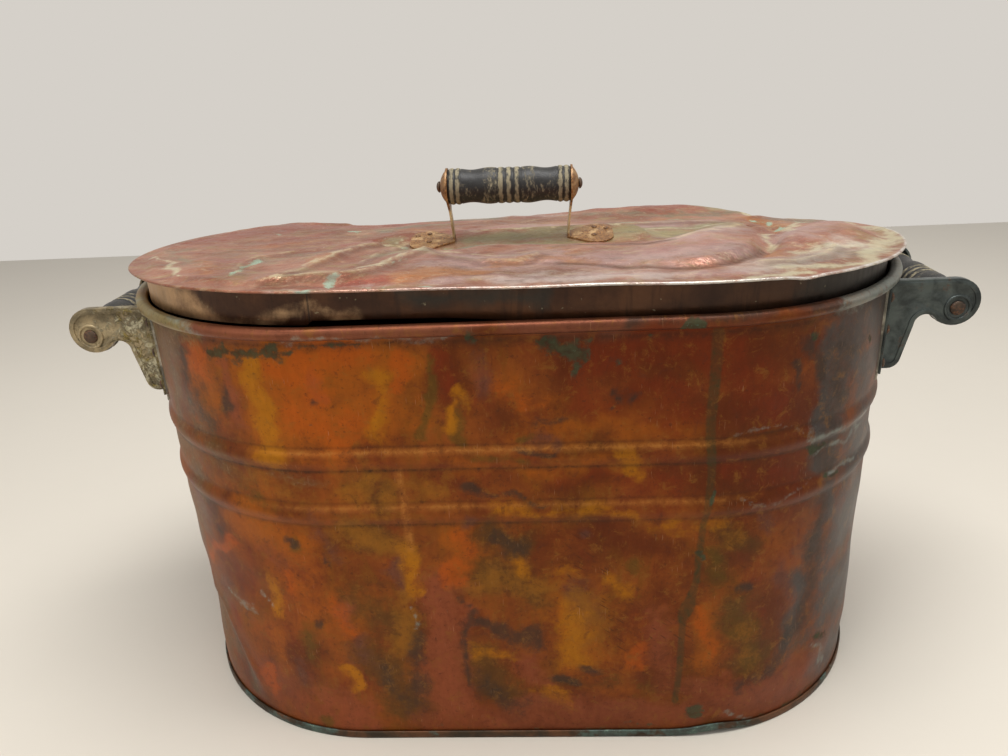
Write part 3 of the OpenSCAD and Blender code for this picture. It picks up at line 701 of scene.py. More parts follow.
def signed_side(a, b, points):
    """Signed distance from a line through several points: positive on its left-hand side."""
    best, side = np.full_like(a, 1e6), np.zeros_like(a)
    for (x0, y0), (x1, y1) in zip(points, points[1:]):
        gap = stroke_distance(a, b, x0, y0, x1, y1)
        cross = (x1 - x0) * (b - y0) - (y1 - y0) * (a - x0)
        closer = gap < best
        best = np.where(closer, gap, best)
        side = np.where(closer, np.sign(cross), side)
    return best * side


def set_mask(mesh, name, values):
    mesh.attributes.new(name, "FLOAT", "POINT").data.foreach_set("value", values.astype(np.float32))


# On the front of the tub: distance along the wall from its middle, to the right, and height
FRONT = {
    "amber": ((-196, 276, -196, 240, 14, 0.8), (-160, 282, -76, 278, 22), (-150, 250, -76, 244, 20),
              (-56, 285, -54, 236, 12, 0.6), (-180, 168, -150, 164, 20, 0.8),
              (-196, 196, -150, 200, 14, 0.5), (-150, 140, -110, 110, 20, 0.6),
              (-176, 80, -172, 40, 12, 0.7), (20, 242, 110, 240, 14, 0.7), (-2, 262, 26, 262, 12, 0.5),
              (122, 104, 126, 64, 9, 0.8), (22, 112, 60, 76, 20, 0.8), (-30, 214, 60, 212, 10, 0.6),
              (-40, 168, -36, 140, 10, 0.8), (230, 280, 244, 250, 10, 0.6)),
    "bronze": ((-226, 305, 330, 305, 7.5),),
    "crust": ((-330, 304, -206, 304, 12, 1), (-330, 290, -262, 292, 10, 0.6),
              (-300, 270, -256, 250, 7, 0.5)),
    "dust": ((-320, 290, -236, 280, 18, 0.9), (-330, 210, -236, 210, 14, 0.8),
             (-330, 150, -250, 150, 22, 0.8), (-330, 60, -250, 60, 30, 0.8),
             (-236, 270, -228, 180, 9, 0.8), (-224, 60, -206, 20, 8, 0.7), (-212, 246, -190, 206, 9, 0.6),
             (228, 150, 330, 150, 8, 0.5), (-150, 214, -120, 212, 5, 0.5)),
    "deep": ((-34, 290, -30, 262, 12, 0.8), (40, 288, 112, 286, 14), (70, 262, 112, 252, 16, 0.7),
             (130, 284, 180, 276, 18, 0.9), (130, 250, 184, 240, 18, 0.9), (128, 205, 186, 196, 16, 0.8),
             (4, 160, 90, 158, 13, 0.8), (86, 204, 112, 196, 12, 0.7), (126, 178, 160, 140, 12, 0.6),
             (-214, 172, -204, 156, 12, 0.7), (20, 202, 60, 200, 8, 0.7), (86, 140, 104, 96, 10, 0.6)),
    "umber": ((-112, 118, -76, 96, 18, 0.7), (-100, 70, -74, 34, 18), (-92, 206, -76, 196, 12, 0.8),
              (-104, 176, -80, 160, 14, 0.8), (-24, 140, 6, 120, 18, 0.8), (-26, 60, 0, 28, 15),
              (-16, 166, -4, 156, 10), (130, 164, 146, 150, 12, 0.8), (142, 100, 158, 62, 13, 0.9),
              (-196, 250, -192, 222, 10, 0.6), (-140, 90, -138, 66, 8, 0.6), (30, 50, 60, 44, 9, 0.6),
              (124, 146, 130, 124, 8, 0.8)),
    "rose": ((-190, 34, -116, 12, 16), (-60, 16, 110, 14, 14), (120, 26, 212, 24, 17),
             (-47, 128, -46, 34, 14), (90, 90, 96, 46, 12, 0.7), (8, 64, 18, 46, 8, 0.7),
             (-180, 250, -174, 270, 6, 0.6), (-214, 110, -210, 80, 10, 0.5),
             (170, 126, 186, 108, 9, 0.8)),
    "orange": ((-200, 290, -200, 270, 9), (-135, 280, -126, 278, 7), (-114, 288, -112, 266, 9),
               (-98, 290, -86, 288, 8), (-65, 288, -65, 260, 3.5), (-126, 250, -92, 236, 13, 0.8),
               (-36, 166, -32, 153, 6, 0.8), (-40, 148, -36, 138, 6), (-244, 122, -198, 146, 4),
               (-191, 38, -187, 28, 6), (4, 260, 20, 262, 5, 0.5), (232, 284, 246, 250, 8, 0.7),
               (230, 210, 216, 205, 5, 0.7), (78, 78, 78, 70, 4), (118, 104, 128, 66, 5, 0.6),
               (-122, 126, -112, 92, 6, 0.6), (-150, 140, -152, 126, 5, 0.7)),
    "gold": ((-152, 278, -150, 228, 8), (-76, 272, -74, 232, 6, 0.8), (-28, 260, -24, 256, 4),
             (-30, 248, -27, 240, 3.5), (-168, 124, -166, 104, 7, 0.7), (-118, 56, -117, 46, 5),
             (-72, 158, -71, 126, 7), (-3, 146, 4, 138, 6, 0.8), (28, 136, 36, 133, 5, 0.7),
             (54, 126, 66, 120, 5, 0.7), (-24, 68, -4, 65, 6, 0.7), (84, 174, 130, 172, 4, 0.6),
             (72, 220, 72, 204, 6, 0.9), (30, 98, 40, 76, 12, 0.8), (20, 36, 28, 30, 7, 0.7),
             (-14, 182, 70, 178, 5, 0.6)),
    "ochre": ((-108, 208, -78, 192, 10, 0.7), (-106, 178, -76, 156, 10, 0.8), (-79, 118, -77, 84, 8, 0.8),
              (-90, 206, -40, 196, 9, 0.6), (-20, 132, 16, 122, 12, 0.7), (40, 110, 52, 84, 12, 0.7),
              (138, 164, 140, 152, 9, 0.6), (-170, 210, -130, 198, 10, 0.5), (150, 88, 154, 66, 9, 0.5)),
    "olive": ((-46, 286, -46, 230, 3), (-24, 246, -24, 232, 3.5), (-22, 222, 4, 221, 4, 0.7),
              (11, 240, 12, 239, 3), (-101, 238, -92, 232, 6, 0.8), (-148, 166, -144, 158, 4, 0.8),
              (-138, 90, -136, 70, 6, 0.8), (72, 142, 72, 136, 5), (-139, 14, -137, 6, 4),
              (122, 148, 130, 124, 7, 0.7), (142, 100, 160, 60, 12, 0.6), (-186, 206, -160, 188, 10, 0.5),
              (64, 56, 82, 46, 9, 0.5)),
    "red": ((48, 288, 112, 286, 10), (-42, 286, -34, 262, 6), (80, 262, 110, 244, 12, 0.7),
            (-218, 88, -212, 85, 5), (128, 284, 150, 240, 12, 0.8), (38, 270, 60, 250, 10, 0.8),
            (60, 196, 100, 190, 9, 0.6), (20, 208, 50, 204, 9, 0.5), (130, 206, 170, 200, 10, 0.6)),
    "pink": ((-177, 280, -171, 244, 5, 0.9), (-110, 280, -108, 264, 4), (-48, 130, -46, 30, 14, 0.9),
             (-118, 118, -112, 100, 7, 0.7), (-130, 36, -112, 10, 12, 0.8), (10, 66, 18, 48, 9, 0.7),
             (0, 24, 112, 14, 9, 0.9), (-24, 14, 212, 10, 5, 0.7), (120, 40, 200, 20, 13, 0.8),
             (86, 104, 92, 60, 8, 0.6), (-180, 150, -150, 146, 6, 0.5), (-16, 272, -8, 262, 6, 0.7)),
    "purple": ((-8, 274, -6, 260, 6, 0.8), (16, 238, 24, 232, 5, 0.9), (-34, 177, -34, 175, 3.5),
               (37, 160, 37, 158, 3.5), (-83, 146, -82, 126, 5, 0.8), (-108, 84, -108, 72, 8, 0.8),
               (-151, 58, -150, 44, 8, 0.6), (38, 116, 38, 100, 9, 0.8), (170, 122, 186, 110, 8, 0.8),
               (164, 182, 165, 168, 7, 0.7), (-128, 182, -120, 162, 9, 0.6)),
    "dark": ((72, 303, 196, 303, 5, 0.9), (-218, 278, -217, 262, 8, 0.9), (-180, 262, -178, 248, 4.5),
             (-112, 263, -112, 262, 2.2), (-206, 250, -192, 236, 9, 0.6), (-26, 195, -22, 193, 3.5),
             (-18, 191, 13, 190, 2.2, 0.8), (-212, 170, -204, 156, 10, 0.6), (-152, 163, -147, 161, 4),
             (-128, 154, -128, 153, 2.5), (-16, 164, -4, 156, 8, 0.8), (8, 230, 18, 226, 2.5),
             (65, 270, 67, 258, 1.8), (73, 258, 73, 256, 1.8), (62, 252, 62, 250, 1.8),
             (16, 249, 34, 248, 4, 0.7), (160, 274, 165, 270, 2), (165, 270, 167.5, 262, 2.2),
             (167.5, 262, 166, 251, 2), (176, 280, 180, 270, 5), (186, 266, 191, 254, 5),
             (-66, 88, -64, 46, 6, 0.8), (-32, 120, -32, 46, 2, 0.8), (-27, 92, 8, 82, 7, 0.9),
             (-90, 60, -72, 34, 12, 0.6), (46, 66, 54, 60, 4), (28, 54, 40, 46, 4),
             (-24, 44, 0, 26, 9, 0.6), (-135, 103, -135, 101, 3), (206, 118, 182, 60, 11, 0.8),
             (176, 50, 148, 38, 7, 0.7), (146, 116, 146, 114, 2.5), (-236, 70, -214, 26, 12, 0.6),
             (206, 270, 212, 236, 9, 0.6), (200, 180, 206, 130, 8, 0.6), (208, 232, 204, 196, 7, 0.6)),
    # partly pale scratches, partly painted highlights on the right-hand beads, the rim and the bent foot
    "pale": ((134, 230, 150, 231, 0.8, 0.7), (150, 229, 190, 226, 0.8, 0.6),
             (186, 224, 240, 220, 1.2, 0.8), (196, 212, 238, 216, 1.2, 0.8),
             (204, 192, 240, 197, 1.3, 0.8), (136, 186, 190, 190, 0.7, 0.6), (203, 304, 300, 304, 7),
             (-330, 306, -226, 306, 3, 0.6), (-226, 304, -180, 304, 3, 0.6),
             (-120, 299, -30, 299, 2, 0.5), (-186, 110, -170, 107, 2, 0.8),
             (-207, 104, -190, 94, 1.5, 0.7), (-74, 114, -70, 96, 1.2, 0.7), (138, 14, 156, 6, 1.6, 0.9),
             (207, 50, 220, 32, 2, 0.7), (220, 32, 226, 16, 2, 0.7)),
    # partly the dark patina of the right end, partly a painted grey sheen there
    "slate": ((204, 300, 300, 30, 7, 0.4), (228, 288, 330, 288, 24, 1), (212, 288, 212, 262, 13, 0.95),
              (234, 250, 330, 250, 20, 0.95), (234, 200, 330, 200, 30, 0.9),
              (236, 140, 330, 140, 36, 0.9), (232, 80, 330, 80, 36, 0.9), (240, 24, 330, 24, 26, 0.8),
              (190, 116, 184, 70, 8, 0.8), (208, 250, 206, 130, 8, 0.6), (224, 120, 226, 60, 12, 0.75),
              (-330, 280, -270, 280, 16, 0.5), (-330, 120, -276, 120, 26, 0.5),
              (196, 284, 198, 200, 8, 0.9), (206, 284, 208, 190, 9, 0.9), (206, 200, 208, 130, 9, 0.8)),
    "scored": ((30, 140, 96, 76, 22), (140, 150, 156, 110, 14, 0.7)),
    "verdigris": ((-184, 290, -150, 289, 6, 0.8), (-174, 285, -160, 284, 5, 0.7),
                  (-145, 290, -122, 291, 4.5, 0.75), (-118, 294, -84, 294, 1.8, 0.7),
                  (-83, 293, -83, 292, 3.5, 0.8), (-14, 292, -12, 290, 5, 0.8),
                  (24, 291, 44, 290, 5, 0.8), (40, 286, 39, 282, 3.5, 0.8), (90, 295, 107, 295, 2),
                  (67, 282, 67, 281, 2, 0.8), (75, 285, 75, 284, 2, 0.8), (178, 284, 186, 278, 4, 0.7),
                  (119, 195, 118.6, 185, 1.4), (115.6, 154, 114.6, 139, 1.3),
                  (190, 217, 200, 214, 4, 0.8), (204, 191, 210, 189, 4, 0.8),
                  (232, 272, 236, 270, 4, 0.7), (112, 16, 115, 14, 5, 0.9), (210, 56, 222, 48, 5, 0.7),
                  (-118, 244, -116, 243, 1.5, 0.6), (-60, 8, 100, 6, 1.8, 0.5),
                  (140, 4, 220, 6, 2.5, 0.6)),
}
DRIP = ((119, 296), (118.5, 275), (117.5, 240), (118, 225), (120, 205), (119, 190), (116, 165),
        (115, 150), (114, 130), (110, 112), (106, 98), (106, 67), (103.5, 30))
# The thin pale run at the left of the middle, and the crease pushed in at the lower left
THIN_RUN = ((-69, 213), (-67, 190), (-66, 157))
CREASE = ((-252, 108), (-247, 88), (-230, 80), (-220, 67), (-212, 53), (-203, 37), (-198, 22), (-196, 8))


def rear_strokes():
    """Tones for the unseen rear sheet, in the manner of the front's, from a fixed seed."""
    draw = np.random.default_rng(11)
    sizes = {"orange": (9, 7), "gold": (9, 7), "ochre": (9, 10), "olive": (9, 9), "red": (8, 11),
             "pink": (8, 11), "purple": (8, 8), "dark": (18, 6), "umber": (6, 14),
             "deep": (6, 16), "amber": (7, 14), "slate": (2, 10)}
    rows = {}
    for name, (count, half) in sizes.items():
        rows[name] = []
        for _ in range(count):
            s, z = draw.uniform(-300, 300), draw.uniform(15, 285)
            length, width = draw.uniform(4, 60), draw.uniform(0.5, 1.4) * half
            rows[name].append((s, z, s + draw.uniform(-6, 6), max(8, z - length), width, 0.8))
    rows["verdigris"] = [(s, 294, s + draw.uniform(8, 40), 293, draw.uniform(2, 6), 0.9)
                         for s in draw.uniform(-320, 300, 12)]
    rows["pale"] = [(-330, 300, -200, 300, 5, 0.8), (120, 300, 330, 300, 4, 0.6)]
    return rows


# ---- Mesh helpers ----

def to_object(name, points, faces, material, smooth=True):
    """A mesh object at the origin from points in millimetres."""
    mesh = bpy.data.meshes.new(name)
    mesh.from_pydata((np.asarray(points, float) * MM).tolist(), [], faces)
    mesh.materials.append(material)
    if smooth:
        mesh.shade_smooth()
    thing = bpy.data.objects.new(name, mesh)
    bpy.context.scene.collection.objects.link(thing)
    return thing


def place(thing, body, slot_name, *nodes):
    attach(thing, body)
    if nodes:
        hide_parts(*nodes)
    return thing


def oval_stations(step):
    """Stations right round the long oval from the middle of the front, anticlockwise seen from
    above: the place on the middle line, the outward direction and the distance along the wall."""
    run = np.round(np.linspace(0, HALF_RUN, max(2, int(HALF_RUN / step))), 4)
    turn = np.linspace(0, math.pi, int(math.pi * TURN_R / step) + 1)[1:-1]
    front = np.concatenate([-run[::-1], run[1:]])
    x = np.concatenate([front, np.full(turn.size, HALF_RUN), front[::-1], np.full(turn.size, -HALF_RUN)])
    nx = np.concatenate([0 * front, np.sin(turn), 0 * front, -np.sin(turn)])
    ny = np.concatenate([0 * front - 1, -np.cos(turn), 0 * front + 1, np.cos(turn)])
    rear_mid = 2 * HALF_RUN + math.pi * TURN_R
    along = np.concatenate([front, HALF_RUN + TURN_R * turn, rear_mid - front[::-1],
                            rear_mid + HALF_RUN + TURN_R * turn])
    return x, nx, ny, along


def down_columns(columns, outline):
    """An outline's values, repeated for every column of a swept sheet."""
    return np.meshgrid(columns, outline, indexing="ij")[1]


def outwards(x, nx, ny, R):
    """Plan places of a swept outline whose distances from the middle line are R."""
    return x[:, None] + nx[:, None] * R, ny[:, None] * R


def as_points(X, Y, Z):
    return np.stack([X, Y, Z], -1).reshape(-1, 3)


def swelling(a, b, height, at_a, at_b, reach_a, reach_b):
    """A smooth round rise, or with a height below 0 a hollow, about one place of a sheet."""
    return height * np.exp(-((a - at_a) / reach_a) ** 2 - ((b - at_b) / reach_b) ** 2)


def near(value, middle, reach, power=2):
    """1 at the middle and falling off to nothing beyond the reach."""
    return np.exp(-((value - middle) / reach) ** power)


def sweep_faces(columns, rows, loop_columns, loop_rows=True):
    """Quads of a swept outline whose points run row by row inside each column."""
    faces = []
    for c in range(columns if loop_columns else columns - 1):
        d = (c + 1) % columns
        for r in range(rows if loop_rows else rows - 1):
            s = (r + 1) % rows
            faces.append((c * rows + r, d * rows + r, d * rows + s, c * rows + s))
    return faces


def set_map(thing, u, v):
    """The piece's own map, with the distance along and across its sheet in metres."""
    mesh = thing.data
    layer = mesh.uv_layers.new(name="sheet")
    corner = np.zeros(len(mesh.loops), np.int32)
    mesh.loops.foreach_get("vertex_index", corner)
    both = np.stack([u[corner], v[corner]], -1) * MM
    layer.data.foreach_set("uv", both.astype(np.float32).ravel())


WAVES = 7


def wave(a, b, seed, length):
    """Gentle unevenness between about -1 and 1, from a few fixed waves."""
    draw = np.random.default_rng(seed)
    total = np.zeros_like(a, float)
    for _ in range(WAVES):
        angle, size, phase = draw.uniform(0, math.pi), draw.uniform(0.6, 1.6), draw.uniform(0, 2 * math.pi)
        total += np.sin((a * math.cos(angle) + b * math.sin(angle)) * 2 * math.pi / (length * size) + phase)
    return total / math.sqrt(WAVES) / 1.2


def smooth_step(value, low, high):
    t = np.clip((value - low) / (high - low), 0, 1)
    return t * t * (3 - 2 * t)


# ---- Tub ----

def wall_radius(z):
    """Outer radius of the wall at a height, with its two swaged beads."""
    radius = FOOT_R + FLARE * z / TUB_H
    for mid in BEADS:
        radius = radius + np.where(abs(z - mid) < BEAD_W / 2,
                                   BEAD_H * abs(np.cos(math.pi * (z - mid) / BEAD_W)) ** 1.3, 0)
    return radius


def foot_lift(s):
    """How far the bottom edge is bent up at a distance along the front."""
    return 3.6 * near(s, 133, 20)


def free_to_dent(s, z):
    """1 where a wall sheet can dent, less at the beads, and 0 at its edges and laps."""
    free = smooth_step(z, 8, 40) * smooth_step(294 - z, 0, 30) * smooth_step(335 - abs(s), 0, 30)
    for mid in BEADS:
        free = free * (1 - 0.75 * near(z, mid, 12))
    return free


# On the front: height of a swelling, its distance along and above the floor, and its reach both ways
FRONT_DENTS = ((-1.6, 196, 80, 12, 60), (-1.3, -28, 60, 36, 30), (1.0, 150, 25, 22, 18))


def front_dents(s, z):
    """How far the front sheet stands out from its true form."""
    form = 0.7 * wave(s, z, 3, 150) + 0.3 * wave(s, z, 5, 55)
    # the crease at the lower left, pushed in on its outer side
    side = signed_side(s, z, CREASE[::-1])
    hollow = smooth_step(side, 0, 15) * smooth_step(62 - side, 0, 44) * smooth_step(118 - z, 0, 30)
    form = form - 3.4 * hollow * (side > 0) + 0.8 * near(side, 0, 4) * smooth_step(110 - z, 0, 25)
    for dent in FRONT_DENTS:
        form = form + swelling(s, z, *dent)
    return form * free_to_dent(s, z)


def rear_dents(s, z):
    return free_to_dent(s, z) * (0.8 * wave(s, z, 21, 140) + 0.35 * wave(s, z, 22, 60))


CURL = np.radians(np.arange(168, -111, -12.0))     # the rolled rim, from its inner side over its top


def wall_profile():
    """Middle of the sheet from its foot over the rolled rim: radius, height, and across it."""
    z = np.concatenate([[WALL_FOOT], np.arange(3.5, 172, 3.0), np.arange(173, 231, 1.6),
                        np.arange(232.5, 291, 3.0), np.arange(292.5, RIM_Z, 2.5), [RIM_Z]])
    r = wall_radius(z) - SHEET / 2
    curl = CURL_R - SHEET / 2
    r = np.concatenate([r, RIM_MID + curl * np.cos(CURL)])
    z = np.concatenate([z, RIM_Z + curl * np.sin(CURL)])
    across_r = np.concatenate([np.ones(r.size - CURL.size), -np.cos(CURL)])
    across_z = np.concatenate([np.zeros(r.size - CURL.size), -np.sin(CURL)])
    return r, z, across_r, across_z


LAP_TOP = RIM_Z - 6
LAP_FOOT = SEAM_H + 1


def wall_ends(s, z, end, lapped):
    """Faces that close a wall sheet's two ends, and those left open above and below its laps."""
    rows, last_column = z.size, s.size - 1
    both = 2 * rows
    if lapped:
        low, high = (int(np.searchsorted(z[:rows - CURL.size], level)) for level in (LAP_FOOT, LAP_TOP))
        first, last = int(np.argmin(abs(s + end))), int(np.argmin(abs(s - end)))
        cuts = [(0, low, high), (last_column, low, high), (first, 0, low), (first, high, rows - 1),
                (last, 0, low), (last, high, rows - 1)]
    else:
        cuts = [(0, 0, rows - 1), (last_column, 0, rows - 1)]
    ends = []
    for column, bottom, top in cuts:
        for row in range(bottom, top):
            quad = (column * both + row, column * both + row + 1,
                    column * both + both - 2 - row, column * both + both - 1 - row)
            ends.append(quad if column < s.size // 2 else quad[::-1])
    if lapped:
        for row in (low, high):
            for a, b in ((0, first), (last, last_column)):
                for column in range(a, b):
                    quad = (column * both + row, (column + 1) * both + row,
                            (column + 1) * both + both - 1 - row, column * both + both - 1 - row)
                    ends.append(quad if row == high else quad[::-1])
    return ends


def without_lap_edges(faces, s, levels, end, curl):
    """The faces of a lapped sheet, less those of its laps beside the seam and the rim."""
    both = levels.size
    keep = []
    for face in faces:
        column, row = face[0] // both, face[0] % both
        in_lap = abs(s[column]) > end - 0.01 and abs(s[column + 1]) > end - 0.01
        at_edge = levels[row] < LAP_FOOT or levels[row] > LAP_TOP or row in (both // 2 - 1, both - 1)
        if not (in_lap and (at_edge or curl[row])):
            keep.append(face)
    return keep


def paint_wall(sheet, s, z, strokes, front):
    """The masks of a wall sheet: its strokes, a painted highlight on its beads' tops, painted shade
    below and above the beads and under the rolled rim, and the long run.
    """
    for mask in [row[0] for row in TUB_TONES] + ["verdigris", "scored"]:
        set_mask(sheet.data, mask, paint(s, z, strokes.get(mask, ()), seed=50))
    # painted shade under the rolled rim and beside each bead, and a painted highlight on each bead's top
    highlight_and_pale_lines, painted_shade = np.zeros_like(s), near(z, 294.2, 1.8)
    for mid, share in zip(BEADS, (0.7, 1.0)):
        highlight_and_pale_lines = np.maximum(highlight_and_pale_lines, share * near(z, mid + 5.5, 1.6))
        painted_shade = np.maximum(painted_shade, share * near(z, mid - 7.6, 1.3))
        painted_shade = np.maximum(painted_shade, 0.6 * share * near(z, mid + 8.6, 1.0))
    highlight_and_pale_lines = highlight_and_pale_lines * smooth_step(170 - abs(s), 0, 60)
    if front:
        highlight_and_pale_lines = np.maximum(highlight_and_pale_lines, along_line(s, z, THIN_RUN, 0.8))
        width = 1.0 + 1.1 * smooth_step(z, 170, 280) + 2.5 * near(z, 108, 9)
        set_mask(sheet.data, "drip", along_line(s, z, DRIP, width, 2.4))
    set_mask(sheet.data, "highlight_and_pale_lines", highlight_and_pale_lines)
    set_mask(sheet.data, "painted_shade", painted_shade)


def wall_sheet(name, side, dents, strokes, slot_name, node):
    """One wall sheet, front (-1) or rear (1), with its half of the beads and of the rim."""
    front = side < 0
    end = HALF_RUN + TURN_R * math.pi / 2 - (0 if front else 0.3)
    laps = [np.array([-1, 1]) * (end + LAP_W), np.array([-1, 1]) * (end + LAP_W / 2)]
    bent_foot = np.arange(98, 124, 1.0)
    s = np.unique(np.round(np.concatenate([
        np.linspace(-end, end, int(2 * end / 2.6)), [-end + 2, end - 2],
        *([bent_foot, *laps] if front else [])]), 3))
    r, z, across_r, across_z = wall_profile()
    turn = np.clip(abs(s) - HALF_RUN, 0, None) / TURN_R
    nx, ny = np.sign(s) * np.sin(turn), side * np.cos(turn)
    cx = np.clip(s, -HALF_RUN, HALF_RUN)
    out_r = np.concatenate([r + across_r * SHEET / 2, (r - across_r * SHEET / 2)[::-1]])
    out_z = np.concatenate([z + across_z * SHEET / 2, (z - across_z * SHEET / 2)[::-1]])
    levels = np.concatenate([z, z[::-1]])
    S, R = np.meshgrid(s, out_r, indexing="ij")
    Z, M = down_columns(s, out_z), down_columns(s, levels)
    curl = np.arange(z.size) >= z.size - CURL.size
    curl = np.concatenate([curl, curl[::-1]])
    lap = np.clip((abs(S) - (end - 2)) / 2, 0, 1) * (SHEET + FIT) * front * (M < LAP_TOP)
    R = R + np.where(curl[None, :], 0, dents(S, M)) + lap
    if front:
        Z = Z + foot_lift(S) * np.clip(1 - M / 60, 0, 1) ** 2
    plan = outwards(cx, nx, ny, TURN_R + 0 * R)
    R = R - KNOCK_IN * rim_knock(*plan) * smooth_step(M, 150, 290)
    Z = Z - knocked_down(*plan) * smooth_step(M, 220, 296)
    X, Y = outwards(cx, nx, ny, R)
    faces = sweep_faces(s.size, levels.size, False)
    if front:
        faces = without_lap_edges(faces, s, levels, end, curl)
    sheet = to_object(name, as_points(X, Y, Z), faces + wall_ends(s, z, end, front), TUB_COPPER)
    flat_s, flat_z = S.ravel(), M.ravel()
    paint_wall(sheet, flat_s, flat_z, strokes, front)
    inside = (np.arange(z.size) < z.size - CURL.size)[::-1]
    set_mask(sheet.data, "inner", np.tile(np.concatenate([np.zeros(z.size), inside]), s.size))
    set_map(sheet, flat_s, flat_z)
    tidy_normals(sheet)
    return place(sheet, "boiler", slot_name, node)


def tidy_normals(thing):
    """Merges doubles, drops loose points and turns every face outwards."""
    work = bmesh.new()
    work.from_mesh(thing.data)
    bmesh.ops.remove_doubles(work, verts=work.verts, dist=MERGED)
    loose = [v for v in work.verts if not v.link_faces]
    bmesh.ops.delete(work, geom=loose, context="VERTS")
    bmesh.ops.recalc_face_normals(work, faces=work.faces)
    work.to_mesh(thing.data)
    work.free()


def bottom_seam():
    """The bottom sheet, raised inside and folded up round the foot of the walls."""
    x, nx, ny, along = oval_stations(4.0)
    inside, outside = FOOT_R - SHEET - 2 * FIT, FOOT_R + 2 * FIT
    hem = 2 * SHEET
    top = SEAM_H - SHEET
    bend = [(outside + SHEET + SHEET * math.cos(a), top + SHEET * math.sin(a))
            for a in np.radians(np.arange(180, -1, -30))]
    outline = ([(0, PAN_Z + SHEET), (70, PAN_Z + SHEET), (110, PAN_Z + SHEET), (inside - 1, PAN_Z + SHEET),
                (inside, PAN_Z + 0.2), (inside, SHEET), (outside, SHEET)] + bend
               + [(outside + hem, 2.4), (outside + hem, 0.5), (outside + hem - 0.4, 0.0),
                  (inside - 0.4, 0.0), (inside - SHEET, 0.4), (inside - SHEET, PAN_Z - 0.4),
                  (inside - SHEET - 0.8, PAN_Z), (110, PAN_Z), (70, PAN_Z), (0, PAN_Z)])
    r, z = np.array(outline).T
    R, Z = down_columns(x, r), down_columns(x, z)
    Z = Z + (foot_lift(along) * (abs(along) < 2 * HALF_RUN))[:, None] * smooth_step(R, 118, 146)
    pan = to_object("bottom_seam", as_points(*outwards(x, nx, ny, R), Z),
                    sweep_faces(x.size, r.size, True, False), SEAM_COPPER)
    tidy_normals(pan)
    return place(pan, "boiler", "base_copper", "bottom_pan")


def bent_wire():
    """The iron wire inside the rolled rim."""
    x, nx, ny, _ = oval_stations(5.0)
    turn = np.radians(np.arange(0, 360, 30))
    plan = x + nx * TURN_R, ny * TURN_R
    R = down_columns(x, RIM_MID + WIRE_R * np.cos(turn)) - KNOCK_IN * rim_knock(*plan)[:, None]
    Z = down_columns(x, RIM_Z + WIRE_R * np.sin(turn)) - knocked_down(*plan)[:, None]
    points = as_points(*outwards(x, nx, ny, R), Z)
    wire = to_object("bent_wire", points, sweep_faces(x.size, turn.size, True), IRON)
    tidy_normals(wire)
    return place(wire, "boiler", "iron", "rim_wire")


# ---- Lid ----

def lid_frame():
    """Turns the lid's own frame, with the brim's underside at height 0, into the boiler's."""
    tilt = Matrix.Rotation(math.radians(-LID_TILT), 4, "X")
    roll = Matrix.Rotation(math.radians(LID_ROLL), 4, "Y")
    return Matrix.Translation((0, 0, LID_Z)) @ roll @ tilt


def strip_frame():
    lean = Matrix.Rotation(math.radians(STRIP_LEAN), 4, "X")
    return lid_frame() @ Matrix.Translation((0, 0, STRIP_Z)) @ lean


def moved(points, matrix):
    """Points in millimetres carried from one frame to another."""
    m = np.array(matrix)
    return np.asarray(points) @ m[:3, :3].T + m[:3, 3]


def settled(x, y):
    """How far the strip under the handle has been pressed down, in the strip's own frame."""
    return -2.8 + 0.018 * x + 0.05 * y


def strip_floor(x, y):
    return STRIP_Z + math.tan(math.radians(STRIP_LEAN)) * y + settled(x, y) - SHEET


# Lines in the lid's plan, read from above: to the right, and to the back
PILLOW_FOOT = ((-50, -112), (-20, -105), (33, -101), (52, -106), (80, -118), (104, -124), (128, -116),
               (146, -98), (162, -72), (172, -40), (176, 0), (170, 30))
PILLOW_CREST = ((-40, -52), (0, -50), (45, -50), (70, -52), (90, -58), (107, -56), (126, -38), (150, -14),
                (164, 6))
# Folds of the lid: the line of the crest, its height and its width
RIDGES = (
    (((-140, -138), (-118, -133), (-96, -133), (-80, -126), (-73, -108), (-68, -86), (-61, -68),
      (-56, -56)), 2.3, 10),
    (((-128, -130), (-122, -112), (-120, -90), (-116, -72), (-111, -46), (-101, -27), (-90, -14),
      (-70, 2)), 2.0, 9),
    (((-92, -100), (-86, -60), (-80, -30), (-78, 0)), 1.6, 6),
    (((-157, -119), (-168, -100), (-171, -78), (-167, -56), (-150, -38)), 1.0, 7),
    (((-56, -56), (-46, -80), (-20, -96), (8, -96), (20, -80)), 1.6, 7),
    (((31, 18), (67, 46), (102, 46), (143, 42), (169, 26)), 1.6, 10),
    (((150, -112), (166, -112), (189, -100), (206, -70)), 1.4, 7))
LOBE = (190, -44, 228, -14)
RIGHT_FOLD = ((158, -88), (170, -62), (184, -30), (190, 10), (184, 50))
LEFT_END = ((-150, 128), (-206, 106), (-240, 62), (-252, 10), (-248, -36), (-228, -84), (-198, -114),
            (-160, -134))


KNOCK_IN = 15.0
KNOCK_DOWN = 3.4


def rim_knock(x, y):
    """Share of the knocks at the far side of the rim and the lid: far left, and far right end."""
    left = np.maximum(near(x, -112, 66, 4), 0.42 * smooth_step(70 - x, 0, 60) * (x > -112))
    return (left + 0.85 * near(x, 232, 32, 4)) * smooth_step(y, 40, 110)


def knocked_down(x, y):
    """How far the rim, and the lid on it, has been knocked down at the far side."""
    sag = 3.0 * near(x, -84, 62, 4) + 2.6 * near(x, 214, 26)
    return KNOCK_DOWN * rim_knock(x, y) + sag * smooth_step(y, 40, 110)


